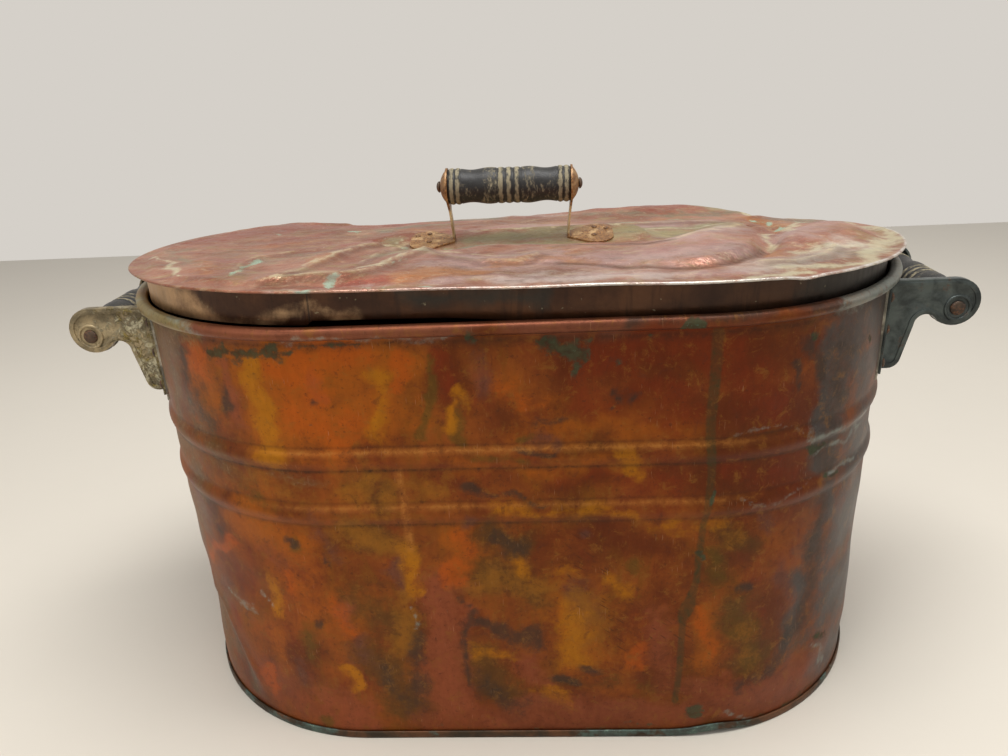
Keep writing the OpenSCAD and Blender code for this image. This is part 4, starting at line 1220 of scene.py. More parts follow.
def crushed_panel(x, y):
    """The lid's panel without its pillow: crushed at the left, with a valley and a hump far right."""
    dish = 2.2 + 1.2 * smooth_step(x, -160, -70) + swelling(x, y, 1.6, -196, 70, 36, 40)
    dish = dish + swelling(x, y, -1.6, -98, -76, 16, 34)
    far = 3.2 + 4.6 * near(y, 122, 22) * smooth_step(x, 30, 110) * smooth_step(196 - x, 0, 60)
    far = far - 1.6 * near(y, 84, 18) * smooth_step(x, 0, 90)
    right = smooth_step(x, -60, 30)
    return dish * (1 - right) + far * right


def front_pillow(x, y, foot):
    """The swelling along the front: a steep foot, a rounded back and a crest at the sunken strip."""
    steep = 13 - 5 * smooth_step(x, 70, 130)
    grown_up = smooth_step(x, 60, 122)
    rise = (1.9 + 1.3 * grown_up) * smooth_step(foot, 0, steep)
    rise = rise + (0.9 + 1.5 * grown_up) * smooth_step(foot, 6, 50)
    rise = rise + 2.4 * smooth_step(foot, 0, 9) * near(x, 140, 26)
    behind = 1 - smooth_step(signed_side(x, y, PILLOW_CREST), 1, 26)
    return rise * behind * smooth_step(x, -62, -8)


def folded(x, y, line, height, width, back=1.0):
    """A fold with a sharp crest along a line, whose back may be wider than its front."""
    reach = np.where(signed_side(x, y, line) > 0, back * width, width)
    return height * np.clip(1 - line_distance(x, y, line) / reach, 0, 1) ** 1.5


def lid_height(x, y):
    """Height of the dented lid's underside above the brim's plane."""
    r = np.hypot(np.clip(abs(x) - HALF_RUN, 0, None), y)
    inner = 1 - smooth_step(r, 132, 149)
    foot = signed_side(x, y, PILLOW_FOOT)
    front = smooth_step(-y, -20, 14) * smooth_step(x, -60, 0)
    form = crushed_panel(x, y) * inner * (1 - front) + front * (1 - smooth_step(r, 140, 150))
    form = form + front_pillow(x, y, foot)
    form = form - 0.9 * near(foot, -3, 4) * smooth_step(x, 20, 70) * smooth_step(150 - r, 0, 8)
    # the right end swells again beyond a fold
    lobe = np.exp(-(stroke_distance(x, y, *LOBE) / 27) ** 3)
    form = form + 6.6 * lobe * (1 - smooth_step(r, 126, 152)) + swelling(x, y, 2.4, 190, 62, 16, 22)
    form = form - folded(x, y, RIGHT_FOLD, 2.6, 9)
    # pressed flat under the left foot of the handle
    pressed = np.exp(-((x + 58) / 32) ** 4 - ((y + 24) / 24) ** 4)
    form = form * (1 - 0.95 * pressed) - 1.4 * pressed
    for line, height, width in RIDGES:
        form = form + folded(x, y, line, height, width, back=2.4)
    form = form + folded(x, y, LEFT_END, 1.8, 9) * (x < -120)
    # the brim: uneven, with a kink at the front right and its right end curled up
    form = form + 0.3 * smooth_step(r, 140, 150) * wave(x, y, 31, 110)
    form = form - 1.2 * near(x, 166, 8) * smooth_step(r, 151, 157) * (y < 0)
    form = form + 2.2 * smooth_step(r, 146, 159) * near(y, -40, 60, 4) * smooth_step(x, 214, 262)
    for share, seed, size in ((0.6, 32, 34), (0.6, 33, 15), (0.2, 34, 7)):
        form = form + inner * share * cloud(x, y, seed, size)
    # the sunken strip under the handle
    off = np.hypot(np.clip(abs(x) - (STRIP_L - STRIP_W) / 2, 0, None), y) - STRIP_W / 2
    sunk = 1 - smooth_step(off, -1.0, 4.0)
    form = form * (1 - sunk) + strip_floor(x, y) * sunk
    return form - knocked_down(x, y) * smooth_step(r, 90, 150)


# On the lid's plan, in the lid's own frame
LID_PAINT = {
    "brown": ((-226, 30, -150, 80, 30), (-190, -46, -130, 34, 24, 0.7), (-40, -120, 40, -128, 16, 0.8),
              (-20, 70, 40, 94, 18, 0.6), (30, -108, 140, -110, 4, 0.9), (110, 70, 150, 70, 12, 0.6),
              (-140, 100, -60, 60, 14, 0.6), (-52, -142, 60, -146, 6, 0.5)),
    "red": ((-232, 24, -190, 80, 24, 0.9), (-190, 88, -60, 96, 20, 0.9), (10, 136, 170, 134, 20, 0.95),
            (-112, -22, -84, -6, 8, 0.95), (-110, -146, -70, -144, 7, 0.8), (60, -84, 120, -76, 11, 0.5),
            (180, -16, 226, 0, 12, 0.7), (-170, -6, -150, 44, 12, 0.7), (-60, 40, 0, 44, 9, 0.6),
            (-210, -60, -170, -76, 10, 0.6)),
    "mauve": ((-20, -96, 130, -92, 24, 0.9), (110, -52, 156, -20, 16, 0.9), (184, -50, 232, 16, 16, 0.7),
              (-40, 34, 40, 50, 14, 0.7), (90, 44, 140, 40, 12, 0.8), (-40, -142, 130, -136, 9, 0.8)),
    "orange": ((-60, -134, -20, -118, 8, 0.95), (-10, -96, 44, -96, 7, 0.8), (36, -84, 42, -70, 6, 0.7),
               (-120, -64, -116, -110, 6, 0.8), (-222, -50, -176, -106, 6, 0.7),
               (160, -90, 166, -74, 5, 1), (176, 70, 200, 0, 9, 1), (120, 74, 170, 70, 8, 0.7),
               (-180, -20, -140, 10, 10, 0.5), (30, -60, 46, -66, 5, 0.6), (-100, 60, -60, 40, 8, 0.6)),
    "tin": ((-36, -16, 40, -14, 14, 0.95), (-30, 4, 42, 14, 10, 0.95), (76, 2, 150, 4, 18, 0.9),
            (-84, 6, -70, -44, 9, 0.8), (70, 30, 150, 26, 7, 0.9), (-86, -74, -72, -50, 8, 0.7),
            (190, 100, 150, 134, 9, 0.8), (222, -64, 140, -132, 10, 0.4), (-70, -20, -50, -60, 8, 0.6),
            (-150, -110, -110, -112, 6, 0.5)),
    # pale rubbed crests and a pale brim at the right end, partly painted highlights on both
    "cream": ((-49, -20, -60, -50, 1.5, 0.9), (-60, -50, -66, -86, 1.7), (-66, -86, -84, -112, 1.9),
              (-84, -112, -136, -130, 1.5, 0.9), (-75, 12, -110, -34, 1.2, 0.8),
              (-112, -40, -122, -100, 1.2, 0.8), (-56, -64, -24, -74, 2.0, 0.9),
              (-24, -74, 10, -80, 1.4, 0.8), (60, 24, 150, 24, 1.8, 0.9), (150, 24, 170, 4, 2, 0.8),
              (194, -30, 206, 30, 3, 0.9), (222, 50, 190, 96, 3, 0.9), (150, -136, 214, -112, 5),
              (214, -112, 252, -40, 6), (252, -40, 260, 40, 5, 0.9), (176, -84, 236, -60, 5, 0.8),
              (-252, -40, -198, -114, 2.2, 0.9), (-46, 22, 46, 24, 1.3, 0.8),
              (130, -152, 166, -144, 3, 0.9), (168, -60, 182, -20, 3, 0.8)),
    # mostly a painted highlight: the front brim, and towards the right end
    "film_and_highlight": ((0, -146, 96, -142, 7, 1), (20, -130, 90, -126, 6, 0.6), (222, -64, 140, -132, 12, 0.9),
             (112, -34, 150, -16, 10, 0.5), (-130, -150, -40, -150, 3, 0.5), (-40, 120, 40, 118, 8, 0.6)),
    "grey": ((-110, 50, -60, 76, 12, 0.7), (-160, -76, -130, -50, 14, 0.5), (60, 104, 180, 98, 7, 0.7),
             (-80, 104, -20, 112, 10, 0.8), (206, 40, 240, 30, 12, 0.7), (-36, -22, 44, -20, 4, 0.9),
             (-240, -20, -216, -70, 9, 0.6), (170, -110, 232, -80, 10, 0.6)),
    "verdigris": ((-99, -134, -97, -144, 5, 0.9), (4, 132, 24, 136, 6), (60, 66, 104, 62, 3, 0.9),
                  (104, 62, 150, 72, 3, 0.9), (-74, -8, -68, -40, 4, 0.9), (-168, -64, -160, -92, 3, 0.9),
                  (-160, -92, -160, -120, 3, 0.8), (-130, 54, -122, 40, 3, 0.7),
                  (-192, 60, -186, 40, 3, 0.6), (184, 50, 196, -4, 3, 0.8), (-176, 62, -170, 44, 3, 0.6),
                  (-46, -10, -40, -32, 4, 0.8), (206, 34, 230, 10, 3, 0.7), (0, 152, 140, 154, 3, 0.8),
                  (140, 154, 236, 104, 3, 0.8), (-84, -118, -60, -90, 2, 0.7),
                  (-120, -152, -40, -156, 2.5, 0.6)),
}


def paint_lid(sheet, x, y, brim_edge):
    """The masks of the lid, on its plan before the knocks."""
    for mask in [row[0] for row in LID_TONES] + ["verdigris"]:
        set_mask(sheet.data, mask, paint(x, y, LID_PAINT.get(mask, ()), seed=80))
    # pale rubbed crests with a painted highlight on them, and painted shade on the front side of each fold
    highlight_and_pale_lines, painted_shade = along_line(x, y, PILLOW_CREST[5:], 0.6, 3.0), np.zeros_like(x)
    for line, height, _ in RIDGES:
        share = min(1.0, height / 1.9)
        highlight_and_pale_lines = np.maximum(highlight_and_pale_lines, along_line(x, y, line, 0.3, 1.8) * share)
        beside = [(x0 + 4, y0 - 5) for x0, y0 in line]
        painted_shade = np.maximum(painted_shade, 0.7 * share * along_line(x, y, beside, 1.0, 5.0))
    # painted shade along the pillow's steep foot and its crest
    for line in (PILLOW_FOOT[2:9], PILLOW_CREST[2:6]):
        painted_shade = np.maximum(painted_shade, along_line(x, y, line, 0.8, 3.2))
    reach = np.hypot(np.clip(abs(x) - HALF_RUN, 0, None), y)
    # painted highlight along the brim's front edge
    edge = smooth_step(reach, brim_edge - 1.5, brim_edge) * (y < 0) * smooth_step(x, -150, 60)
    for name, values in (("highlight_and_pale_lines", highlight_and_pale_lines), ("painted_shade", painted_shade), ("edge", edge)):
        set_mask(sheet.data, name, values)


def lid_sheet():
    """The dented lid, from its panel over the shoulder to the brim, whose hem is folded under."""
    x, nx, ny, _ = oval_stations(3.0)
    edge = BRIM_R - SHEET
    top = np.concatenate([[0], np.arange(3, 18, 3.0), np.arange(18, 30, 1.2), np.arange(30, 120, 3.0),
                          np.arange(120, 152, 2.0), np.arange(152, edge, 1.4), [edge]])
    under = np.concatenate([[BRIM_R - HEM_W, BRIM_R - HEM_W - 0.02], np.arange(150, 118, -2.0),
                            np.arange(117, 30, -3.0), np.arange(30, 17.9, -1.2), [14, 7, 0]])
    bend = np.radians(np.arange(60, -61, -30.0))
    r = np.concatenate([top, edge + SHEET * np.cos(bend), [edge], under])
    lift = np.concatenate([np.full(top.size, SHEET), SHEET * np.sin(bend), [-SHEET, -SHEET],
                           np.zeros(under.size - 1)])
    R = down_columns(x, r)
    X, Y = outwards(x, nx, ny, R)
    Z = lid_height(X, Y) + lift[None, :]
    inward = KNOCK_IN * rim_knock(X, Y) * smooth_step(R, 60, 150)
    points = moved(as_points(X - nx[:, None] * inward, Y - ny[:, None] * inward, Z), lid_frame())
    sheet = to_object("lid_sheet", points, sweep_faces(x.size, r.size, True, False), LID_COPPER)
    paint_lid(sheet, X.ravel(), Y.ravel(), edge)
    set_mask(sheet.data, "inner", np.tile(np.arange(r.size) > top.size + bend.size, x.size))
    tidy_normals(sheet)
    return place(sheet, "lid", "lid_copper", "lid_top")


# On the skirt: distance along it and height below the brim, as in the strokes of the tub
SKIRT_TEAL = ((-60, -6, 20, -7, 5, 0.8), (180, -10, 330, -10, 14, 0.9), (330, -10, 420, -10, 14, 0.7),
              (700, -9, 820, -9, 8, 0.7))
# painted light at the left end and along the lower edge at the front left
SKIRT_OCHRE = ((-330, -10, -216, -10, 14, 0.95), (-216, -12, -180, -14, 8, 0.7),
               (-180, -18, -90, -18, 4, 0.6))


def lid_band():
    """The lid's skirt: a band with a flange under the brim and a hemmed lower edge."""
    x, nx, ny, along = oval_stations(3.0)
    inner, flange = SKIRT_R - SHEET, SKIRT_R + 4
    outline = [(SKIRT_R, -SKIRT_H + 0.5), (SKIRT_R, -14.0), (SKIRT_R, -8.0), (SKIRT_R, -2.0),
               (SKIRT_R + 0.3, -SHEET - FIT), (flange, -SHEET - FIT), (flange, -FIT), (inner, -FIT),
               (inner, -12.0), (inner, -SKIRT_H + 3), (inner - SHEET, -SKIRT_H + 2.7),
               (inner - SHEET, -SKIRT_H + 0.4), (inner - SHEET + 0.4, -SKIRT_H), (SKIRT_R - 0.5, -SKIRT_H)]
    r, z = np.array(outline).T
    R, Z = down_columns(x, r), down_columns(x, z)
    A = np.meshgrid(along, r, indexing="ij")[0]
    low = smooth_step(-Z, 2, SKIRT_H)
    R = R - 0.5 * low * (1 + wave(A, 0 * A, 41, 120))
    Z = Z + 0.5 * low * wave(A, 0 * A, 42, 180)
    # the lower edge is worn away towards the left of the front
    Z = Z + 2.6 * low * smooth_step(A, -215, -170) * smooth_step(20 - A, 0, 60) - 0.15 * (1 - low)
    X, Y = outwards(x, nx, ny, R)
    Z = Z - knocked_down(X, Y)
    inward = KNOCK_IN * rim_knock(X, Y)
    points = moved(as_points(X - nx[:, None] * inward, Y - ny[:, None] * inward, Z), lid_frame())
    band = to_object("lid_band", points, sweep_faces(x.size, r.size, True), SKIRT_COPPER)
    a, b = A.ravel(), Z.ravel()
    round_it = 4 * HALF_RUN + 2 * math.pi * TURN_R
    from_left = np.where(a > round_it / 2, a - round_it, a)
    set_mask(band.data, "teal", paint(a, b, SKIRT_TEAL, seed=90))
    set_mask(band.data, "ochre", paint(from_left, b, SKIRT_OCHRE, seed=91))
    set_map(band, a, b)
    tidy_normals(band)
    return place(band, "lid", "skirt_copper", "lid_skirt")


# ---- Turned grips, made by rule in Geometry Nodes ----

def new_geometry_tree(name, sizes, on_seats=False):
    """A geometry tree with named sizes, and with seat points as its first input where it has any."""
    tree = bpy.data.node_groups.new(name, "GeometryNodeTree")
    if on_seats:
        tree.interface.new_socket("Seats", in_out="INPUT", socket_type="NodeSocketGeometry")
    for label in sizes:
        tree.interface.new_socket(label, in_out="INPUT", socket_type="NodeSocketFloat")
    tree.interface.new_socket("Geometry", in_out="OUTPUT", socket_type="NodeSocketGeometry")
    return tree, add(tree, "NodeGroupInput").outputs, add(tree, "NodeGroupOutput").inputs


def own_place(tree):
    return split(tree, add(tree, "GeometryNodeInputPosition").outputs[0])


def shaped(tree, geometry, place):
    node = add(tree, "GeometryNodeSetPosition")
    feed(tree, node.inputs["Geometry"], geometry)
    feed(tree, node.inputs["Position"], place)
    return node.outputs[0]


def cylinder(tree, sides, radius, height, shift):
    """A cylinder along Z, moved along it by a share of its height."""
    node = add(tree, "GeometryNodeMeshCylinder")
    for key, value in (("Vertices", sides), ("Radius", radius), ("Depth", height)):
        feed(tree, node.inputs[key], value)
    moved_on = add(tree, "GeometryNodeTransform")
    feed(tree, moved_on.inputs["Geometry"], node.outputs["Mesh"])
    feed(tree, moved_on.inputs["Translation"], join(tree, z=times(tree, height, shift)))
    return moved_on.outputs[0]


def turned_radius(tree, x, half, radius):
    """Radius of a turned grip at x: beads in the middle and at the ends, a swell between."""
    bead = calc(tree, "DIVIDE", half, 7.5)
    mid_w = times(tree, bead, 1.5)
    pi_x = times(tree, calc(tree, "DIVIDE", x, bead), math.pi)
    middle = calc(tree, "MULTIPLY_ADD", calc(tree, "ABSOLUTE", calc(tree, "COSINE", pi_x)), 0.06, 0.93)
    from_end = calc(tree, "DIVIDE", less(tree, half, x), times(tree, bead, 0.75))
    ring = calc(tree, "ABSOLUTE", calc(tree, "SINE", times(tree, from_end, math.pi)))
    ends = calc(tree, "MULTIPLY_ADD", ring, 0.07, 0.93)
    span = less(tree, less(tree, half, mid_w), mid_w)
    share = calc(tree, "DIVIDE", less(tree, x, mid_w), span)
    swing = calc(tree, "COSINE", times(tree, less(tree, share, 0.2), 2 * math.pi))
    belly = calc(tree, "MULTIPLY_ADD", swing, 0.055, 0.945)
    at_middle = calc(tree, "LESS_THAN", x, mid_w)
    at_end = calc(tree, "GREATER_THAN", x, less(tree, half, mid_w))
    between = less(tree, less(tree, 1.0, at_middle), at_end)
    total = plus(tree, times(tree, middle, at_middle), times(tree, ends, at_end))
    total = plus(tree, total, times(tree, belly, between))
    return times(tree, total, radius)


GRIP_ROWS = 203
GRIP_SIDES = 56
WORN_FROM, WORN_TO = 0.955, 0.985      # shares of a grip's radius at which its paint is worn off


def turned_grip_tree(material):
    """A bored grip along X: its first and last rows are the bore, the rest the turned face."""
    tree, given, out = new_geometry_tree("turned grip", (
        "Half Length", "Radius", "Bore Radius", "Journal Radius", "Journal Length"))
    grid = add(tree, "GeometryNodeMeshGrid")
    feed(tree, grid.inputs["Size X"], float(GRIP_ROWS - 1))
    feed(tree, grid.inputs["Size Y"], 2 * math.pi)
    feed(tree, grid.inputs["Vertices X"], GRIP_ROWS)
    feed(tree, grid.inputs["Vertices Y"], GRIP_SIDES + 1)
    spot = own_place(tree)
    row = plus(tree, spot[0], (GRIP_ROWS - 1) / 2)
    last = float(GRIP_ROWS - 1)
    half = given["Half Length"]
    share = calc(tree, "DIVIDE", less(tree, row, 1.0), last - 3, clamp=True)
    x = times(tree, calc(tree, "MULTIPLY_ADD", share, 2.0, -1.0), half)
    wraps = calc(tree, "GREATER_THAN", row, last - 0.5)
    x = less(tree, x, times(tree, times(tree, wraps, 2.0), half))
    size = calc(tree, "ABSOLUTE", x)
    main = less(tree, half, given["Journal Length"])
    face = turned_radius(tree, size, main, given["Radius"])
    journal = calc(tree, "GREATER_THAN", size, main)
    face = plus(tree, times(tree, face, less(tree, 1.0, journal)),
                times(tree, given["Journal Radius"], journal))
    bore = plus(tree, calc(tree, "LESS_THAN", row, 0.5), calc(tree, "GREATER_THAN", row, last - 1.5))
    radius = plus(tree, times(tree, face, less(tree, 1.0, bore)),
                  times(tree, given["Bore Radius"], bore))
    round_it = [times(tree, radius, calc(tree, turn, spot[1])) for turn in ("COSINE", "SINE")]
    joined = add(tree, "GeometryNodeMergeByDistance")
    feed(tree, joined.inputs["Geometry"], shaped(tree, grid.outputs["Mesh"], join(tree, x, *round_it)))
    feed(tree, joined.inputs["Distance"], MERGED)
    finish_tree(tree, joined.outputs[0], out, material)
    return tree


def finish_tree(tree, geometry, out, material):
    real = add(tree, "GeometryNodeRealizeInstances")
    feed(tree, real.inputs[0], geometry)
    coated = add(tree, "GeometryNodeSetMaterial")
    feed(tree, coated.inputs["Geometry"], real.outputs[0])
    coated.inputs["Material"].default_value = material
    feed(tree, out["Geometry"], coated.outputs[0])


def grown(name, tree, sizes, seed_mesh=None):
    """Runs a geometry tree on a new object and returns its result as a plain mesh object."""
    thing = bpy.data.objects.new(name, seed_mesh or bpy.data.meshes.new(name + "_seed"))
    bpy.context.scene.collection.objects.link(thing)
    modifier = thing.modifiers.new("form", "NODES")
    modifier.node_group = tree
    for item in tree.interface.items_tree:
        if item.item_type == "SOCKET" and item.in_out == "INPUT" and item.name in sizes:
            modifier[item.identifier] = sizes[item.name]
    bpy.context.view_layer.update()
    depsgraph = bpy.context.evaluated_depsgraph_get()
    mesh = bpy.data.meshes.new_from_object(thing.evaluated_get(depsgraph), depsgraph=depsgraph)
    thing.modifiers.remove(modifier)
    thing.data = mesh
    mesh.name = name
    return thing


def grip(name, half, radius, bore, journal, journal_l, material, matrix, body, node):
    thing = grown(name, turned_grip_tree(material), {
        "Half Length": half * MM, "Radius": radius * MM, "Bore Radius": bore * MM,
        "Journal Radius": journal * MM, "Journal Length": journal_l * MM})
    mesh = thing.data
    co = np.zeros(len(mesh.vertices) * 3, np.float32)
    mesh.vertices.foreach_get("co", co)
    co = co.reshape(-1, 3)
    far, from_mid = np.hypot(co[:, 1], co[:, 2]) / MM, abs(co[:, 0]) / MM
    ring_zone = (half - journal_l) / 5
    ringed = np.maximum(from_mid < ring_zone, from_mid > half - journal_l - ring_zone)
    worn = smooth_step(far, radius * WORN_FROM, radius * WORN_TO) * (0.35 + 0.65 * ringed)
    set_mask(mesh, "wear", worn)
    turn = matrix.copy()
    turn.translation = turn.translation * MM
    mesh.transform(turn)
    mesh.shade_smooth()
    tidy_normals(thing)
    return place(thing, body, "grip_wood", node)


# ---- Rivets and burrs, made by rule in Geometry Nodes ----

def rivet_tree(material):
    """A rivet on each seed point, along the point's own direction: head, shank and tail."""
    tree, given, out = new_geometry_tree("rivets", (
        "Clamped", "Head Radius", "Head Height", "Shank Radius", "Tail Radius", "Tail Height"), True)
    parts = add(tree, "GeometryNodeJoinGeometry")

    def dome(radius, height, z, up):
        ball = add(tree, "GeometryNodeMeshUVSphere")
        for key, value in (("Segments", 20), ("Rings", 12), ("Radius", 1.0)):
            feed(tree, ball.inputs[key], value)
        spot = own_place(tree)
        tall = times(tree, times(tree, calc(tree, "MAXIMUM", spot[2], 0.0), height), up)
        place = join(tree, times(tree, spot[0], radius), times(tree, spot[1], radius), plus(tree, tall, z))
        feed(tree, parts.inputs[0], shaped(tree, ball.outputs["Mesh"], place))

    clamped = given["Clamped"]
    dome(given["Head Radius"], given["Head Height"], 0.0, 1.0)
    dome(given["Tail Radius"], given["Tail Height"], times(tree, clamped, -1.0), -1.0)
    feed(tree, parts.inputs[0], cylinder(tree, 16, given["Shank Radius"], clamped, -0.5))
    spread_on_seats(tree, given["Seats"], parts.outputs[0], out, material)
    return tree


def burr_tree(material):
    """A burr, the small round washer under a rivet's tail, on each seed point."""
    tree, given, out = new_geometry_tree("burrs", ("Radius", "Thickness"), True)
    disc = cylinder(tree, 24, given["Radius"], given["Thickness"], 0.5)
    spread_on_seats(tree, given["Seats"], disc, out, material)
    return tree


def spread_on_seats(tree, seats, shape, out, material):
    spread = add(tree, "GeometryNodeInstanceOnPoints")
    feed(tree, spread.inputs["Points"], seats)
    feed(tree, spread.inputs["Instance"], shape)
    aim = add(tree, "FunctionNodeAlignRotationToVector", axis="Z")
    way = add(tree, "GeometryNodeInputNamedAttribute", data_type="FLOAT_VECTOR")
    way.inputs["Name"].default_value = "way"
    feed(tree, aim.inputs["Vector"], way.outputs["Attribute"])
    feed(tree, spread.inputs["Rotation"], aim.outputs[0])
    finish_tree(tree, spread.outputs[0], out, material)


def seats(name, places):
    """A mesh of loose points in millimetres, each with the direction that it faces."""
    mesh = bpy.data.meshes.new(name)
    mesh.from_pydata([tuple(MM * c for c in p) for p, _ in places], [], [])
    way = mesh.attributes.new("way", "FLOAT_VECTOR", "POINT")
    way.data.foreach_set("vector", np.array([tuple(w) for _, w in places], np.float32).ravel())
    return mesh


def rivets(name, places, clamped, body, node, tree, head_r=RIVET_HEAD_R, head_h=RIVET_HEAD_H):
    thing = grown(name, tree, {
        "Clamped": clamped * MM, "Head Radius": head_r * MM, "Head Height": head_h * MM,
        "Shank Radius": RIVET_R * MM, "Tail Radius": (RIVET_HEAD_R - 0.6) * MM, "Tail Height": 1.1 * MM},
        seats(name + "_seats", places))
    thing.data.shade_smooth()
    return place(thing, body, "rivet_iron", node)


def burrs(name, places, clamped, body, node):
    low = [(Vector(p) - Vector(w) * clamped, w) for p, w in places]
    thing = grown(name, BURRS, {"Radius": BURR_R * MM, "Thickness": BURR_T * MM},
                  seats(name + "_seats", low))
    return place(thing, body, "burr_copper", node)


def foot_rivet_places(sides):
    found = []
    frame_now = strip_frame()
    up = (frame_now.to_3x3() @ Vector((0, 0, 1))).normalized()
    for side in sides:
        for x, y in FOOT_RIVETS:
            across = side * (STRAP_X + x - STRAP_LEAN)
            found.append((frame_now @ Vector((across, y, FIT + STRAP_T + settled(across, y))), up))
    return found


EAR_FOOT = 233.0
EAR_TOP = 294.5
EAR_MID = (EAR_FOOT + EAR_TOP) / 2
EAR_RIVET_ZS = (EAR_FOOT + 7, EAR_MID, EAR_TOP - 9)
PAD_T = 1.4
FLANGE_W = 15
FLANGE_FACE = PAD_T + 2 * FIT + EAR_T
FLANGE_R = FOOT_R + FLARE * EAR_MID / TUB_H + FLANGE_FACE
FOLD_A = math.asin((EAR_Y - EAR_T / 2) / FLANGE_R)
EAR_RIVET_A = FOLD_A + FLANGE_W * 0.58 / (FOOT_R + FLARE)
EAR_CLAMPED = FLANGE_FACE + SHEET + BURR_T + 3 * FIT
LID_CLAMPED = STRAP_T + SHEET + BURR_T + FIT


def ear_rivet_places(end):
    found = []
    for side in (-1, 1):
        for z in EAR_RIVET_ZS:
            radius = float(wall_radius(np.array(z))) + FLANGE_FACE + FIT
            way = Vector((end * math.cos(EAR_RIVET_A), side * math.sin(EAR_RIVET_A), 0))
            found.append((Vector((end * HALF_RUN, 0, z)) + way * radius, way))
    return found


# ---- CAD nodes whose shape is kept, with softened edges ----

def settle_foot(mesh):
    """Lets a lid strap's foot down onto the pressed strip, and lengthens its leg to suit."""
    there = strip_frame()
    there.translation = there.translation * MM
    back = there.inverted()
    for vertex in mesh.vertices:
        spot = back @ vertex.co / MM
        share = 1 - float(smooth_step(spot.z, 4, 18))
        spot.x -= STRAP_LEAN * math.copysign(1 - float(smooth_step(spot.z, 1, 30)), spot.x)
        spot.z += share * settled(spot.x, spot.y)
        vertex.co = there @ (spot * MM)


ROUNDED_ANGLE = 28     # an edge this sharp or sharper gets its round
CREASED_ANGLE = 42     # an edge this sharp or sharper stays sharp to the eye
FLAT_ANGLE = 1         # faces nearer to level than this become one


def softened(node, body, slot_name, material, width, settle=False):
    """A merged copy of a CAD node with a small round on its sharp edges."""
    thing = bpy.data.objects.new(node + "_soft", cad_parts[node].data.copy())
    bpy.context.scene.collection.objects.link(thing)
    work = bmesh.new()
    work.from_mesh(thing.data)
    bmesh.ops.remove_doubles(work, verts=work.verts, dist=2 * MERGED)
    bmesh.ops.dissolve_limit(work, angle_limit=math.radians(FLAT_ANGLE), verts=work.verts, edges=work.edges)
    work.to_mesh(thing.data)
    work.free()
    if settle:
        settle_foot(thing.data)
    thing.data.materials.clear()
    thing.data.materials.append(material)
    bevel = thing.modifiers.new("round", "BEVEL")
    bevel.width = width * MM
    bevel.segments = 2
    bevel.limit_method = "ANGLE"
    bevel.angle_limit = math.radians(ROUNDED_ANGLE)
    bevel.harden_normals = False
    thing.data.shade_smooth()
    depsgraph = bpy.context.evaluated_depsgraph_get()
    mesh = bpy.data.meshes.new_from_object(thing.evaluated_get(depsgraph), depsgraph=depsgraph)
    thing.modifiers.remove(bevel)
    thing.data = mesh
    mesh.set_sharp_from_angle(angle=math.radians(CREASED_ANGLE))
    return place(thing, body, slot_name, node)


def coat(node, material):
    """Gives a CAD node whose shape is right a better finish."""
    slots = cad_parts[node].data.materials
    slots.clear()
    slots.append(material)


# ---- Stage ----

# The camera of the photograph: place in metres, and turns in degrees
CAMERA_AT = (0.02303, -0.57724, 0.44118)
CAMERA_ROUND, CAMERA_UP, CAMERA_ROLL = 3.312, 68.358, -2.92
CAMERA_LENS, CAMERA_SENSOR = 28.583, 36


def make_camera():
    data = bpy.data.cameras.new("camera")
    data.sensor_width = CAMERA_SENSOR
    data.lens = CAMERA_LENS
    camera = bpy.data.objects.new("camera", data)
    bpy.context.scene.collection.objects.link(camera)
    turn = (Matrix.Rotation(math.radians(CAMERA_ROUND), 4, "Z")
            @ Matrix.Rotation(math.radians(CAMERA_UP), 4, "X")
            @ Matrix.Rotation(math.radians(CAMERA_ROLL), 4, "Z"))
    camera.matrix_world = Matrix.Translation(CAMERA_AT) @ turn
    bpy.context.scene.camera = camera


FLOOR_SIDE, FLOOR_FRONT, FLOOR_REAR = 2600, -1600, 1500


def make_floor():
    points = [(-FLOOR_SIDE, FLOOR_FRONT, 0), (FLOOR_SIDE, FLOOR_FRONT, 0), (FLOOR_SIDE, FLOOR_REAR, 0),
              (-FLOOR_SIDE, FLOOR_REAR, 0)]
    material, tree, shader = new_material("floor")
    place = object_place(tree)
    cloudy = use_group(tree, mottle, Place=place, Scale=3.0, Depth=0.012)
    feed(tree, shader.inputs["Base Color"], shaded(tree, tone(212, 204, 190), cloudy["Shade"]))
    shader.inputs["Roughness"].default_value = 0.8
    to_object("floor", points, [(0, 1, 2, 3)], material, smooth=False)


def area_light(name, spot, target, size, power):
    data = bpy.data.lights.new(name, "AREA")
    data.shape = "RECTANGLE"
    data.size, data.size_y = size
    data.energy = power
    lamp = bpy.data.objects.new(name, data)
    bpy.context.scene.collection.objects.link(lamp)
    lamp.location = spot
    lamp.rotation_euler = (Vector(target) - Vector(spot)).to_track_quat("-Z", "Y").to_euler()


# Name, place, aim and size in metres, and power in watts
LAMPS = (
    ("overhead", (0.1, -0.25, 1.9), (0, 0, 0.2), (1.5, 0.9), 38),
    ("front_left", (-1.6, -1.7, 1.4), (0, 0, 0.15), (1.2, 1.0), 9),
    ("right_side", (1.9, -0.4, 1.0), (0, 0, 0.2), (1.0, 0.8), 4))
ROOM_LIGHT = 0.45


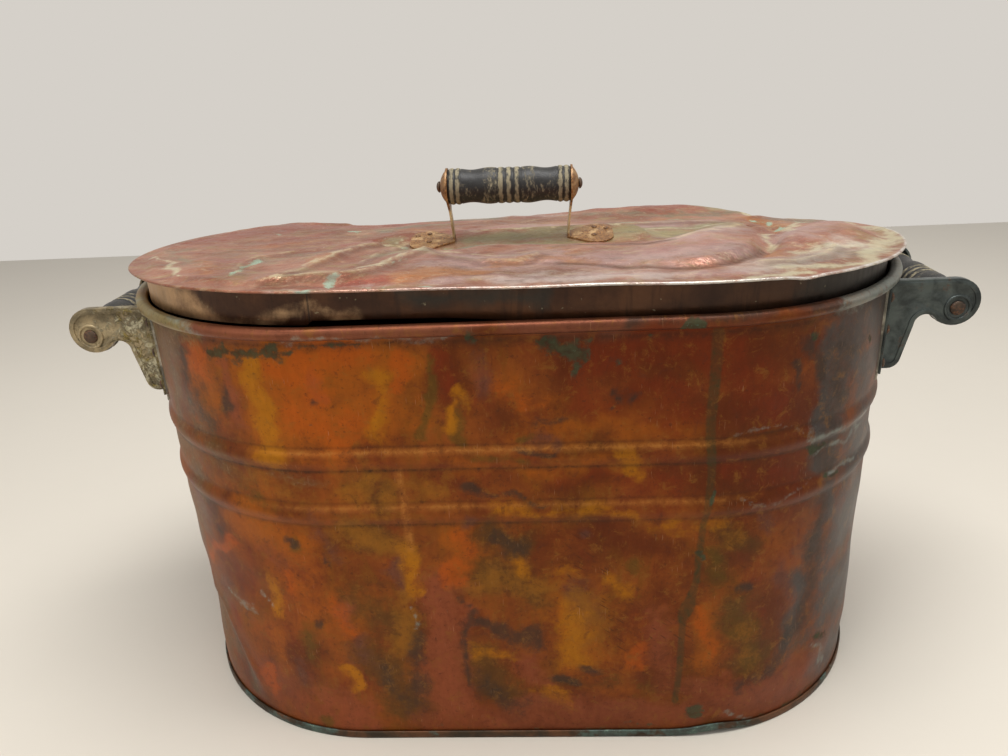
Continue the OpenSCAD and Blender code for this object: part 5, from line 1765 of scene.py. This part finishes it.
def make_lights():
    world = bpy.data.worlds.new("studio")
    bpy.context.scene.world = world
    world.use_nodes = True
    tree = world.node_tree
    back = tree.nodes["Background"]
    rays = add(tree, "ShaderNodeLightPath")
    seen = calc(tree, "MAXIMUM", rays.outputs["Is Camera Ray"],
                calc(tree, "MAXIMUM", rays.outputs["Is Glossy Ray"], rays.outputs["Is Transmission Ray"]))
    feed(tree, back.inputs["Color"], mix(tree, seen, tone(236, 236, 238), tone(213, 208, 201)))
    feed(tree, back.inputs["Strength"], remap(tree, seen, 0.0, 1.0, ROOM_LIGHT, 1.0, smooth=False))
    for lamp in LAMPS:
        area_light(*lamp)


# ---- Everything in place ----

make_camera()
make_floor()
make_lights()
bpy.context.scene.view_settings.view_transform = "Standard"

wall_sheet("front_sheet", -1, front_dents, FRONT, "body_copper", "front_wall")
wall_sheet("rear_sheet", 1, rear_dents, rear_strokes(), "body_copper", "rear_wall")
bottom_seam()
bent_wire()

lid_sheet()
lid_band()
softened("lid_left_strap", "lid", "strap_steel", STRAP_STEEL, 0.35, settle=True)
softened("lid_right_strap", "lid", "strap_steel", STRAP_STEEL, 0.35, settle=True)
handle = strip_frame() @ Matrix.Translation((0, 0, STRAP_H + FIT))
grip("lid_turned_grip", LID_GRIP_HALF, LID_GRIP_R, LID_ROD_R + GRIP_PLAY, *LID_JOURNAL, LID_WOOD,
     handle, "lid_grip", "lid_grip")
softened("lid_grip_rod", "lid", "iron", IRON, 0.3)

EAR_RIVET = rivet_tree(IRON)
FOOT_RIVET = rivet_tree(FOOT_RUST)
BURRS = burr_tree(BURR_COPPER)
for end, side_name in ((-1, "left"), (1, "right")):
    rivets(f"lid_{side_name}_foot_rivets", foot_rivet_places((end,)), LID_CLAMPED, "lid",
           f"lid_{side_name}_rivets", FOOT_RIVET, FOOT_HEAD_R, FOOT_HEAD_H)
burrs("lid_burrs", foot_rivet_places((-1, 1)), LID_CLAMPED, "lid", "lid_rivet_burrs")

for end, side_name, steel, ear_slot in ((-1, "left", EAR_PALE, "ear_steel_pale"),
                                        (1, "right", EAR_DARK, "ear_steel_dark")):
    for depth in ("front", "rear"):
        softened(f"{side_name}_{depth}_ear", "boiler", ear_slot, steel, 0.45)
        coat(f"{side_name}_{depth}_pad", PAD_STEEL)
    across = Matrix.Translation((end * ROD_X, 0, ROD_Z)) @ Matrix.Rotation(math.radians(90), 4, "Z")
    grip(f"{side_name}_turned_grip", GRIP_HALF, GRIP_R, END_ROD_R + GRIP_PLAY, *END_JOURNAL, END_WOOD,
         across, f"{side_name}_grip", f"{side_name}_grip")
    softened(f"{side_name}_grip_rod", "boiler", "iron", IRON, 0.3)
    rivets(f"{side_name}_flange_rivets", ear_rivet_places(end), EAR_CLAMPED, "boiler",
           f"{side_name}_ear_rivets", EAR_RIVET)
    burrs(f"{side_name}_flange_burrs", ear_rivet_places(end), EAR_CLAMPED, "boiler",
          f"{side_name}_rivet_burrs")

bpy.context.view_layer.update()
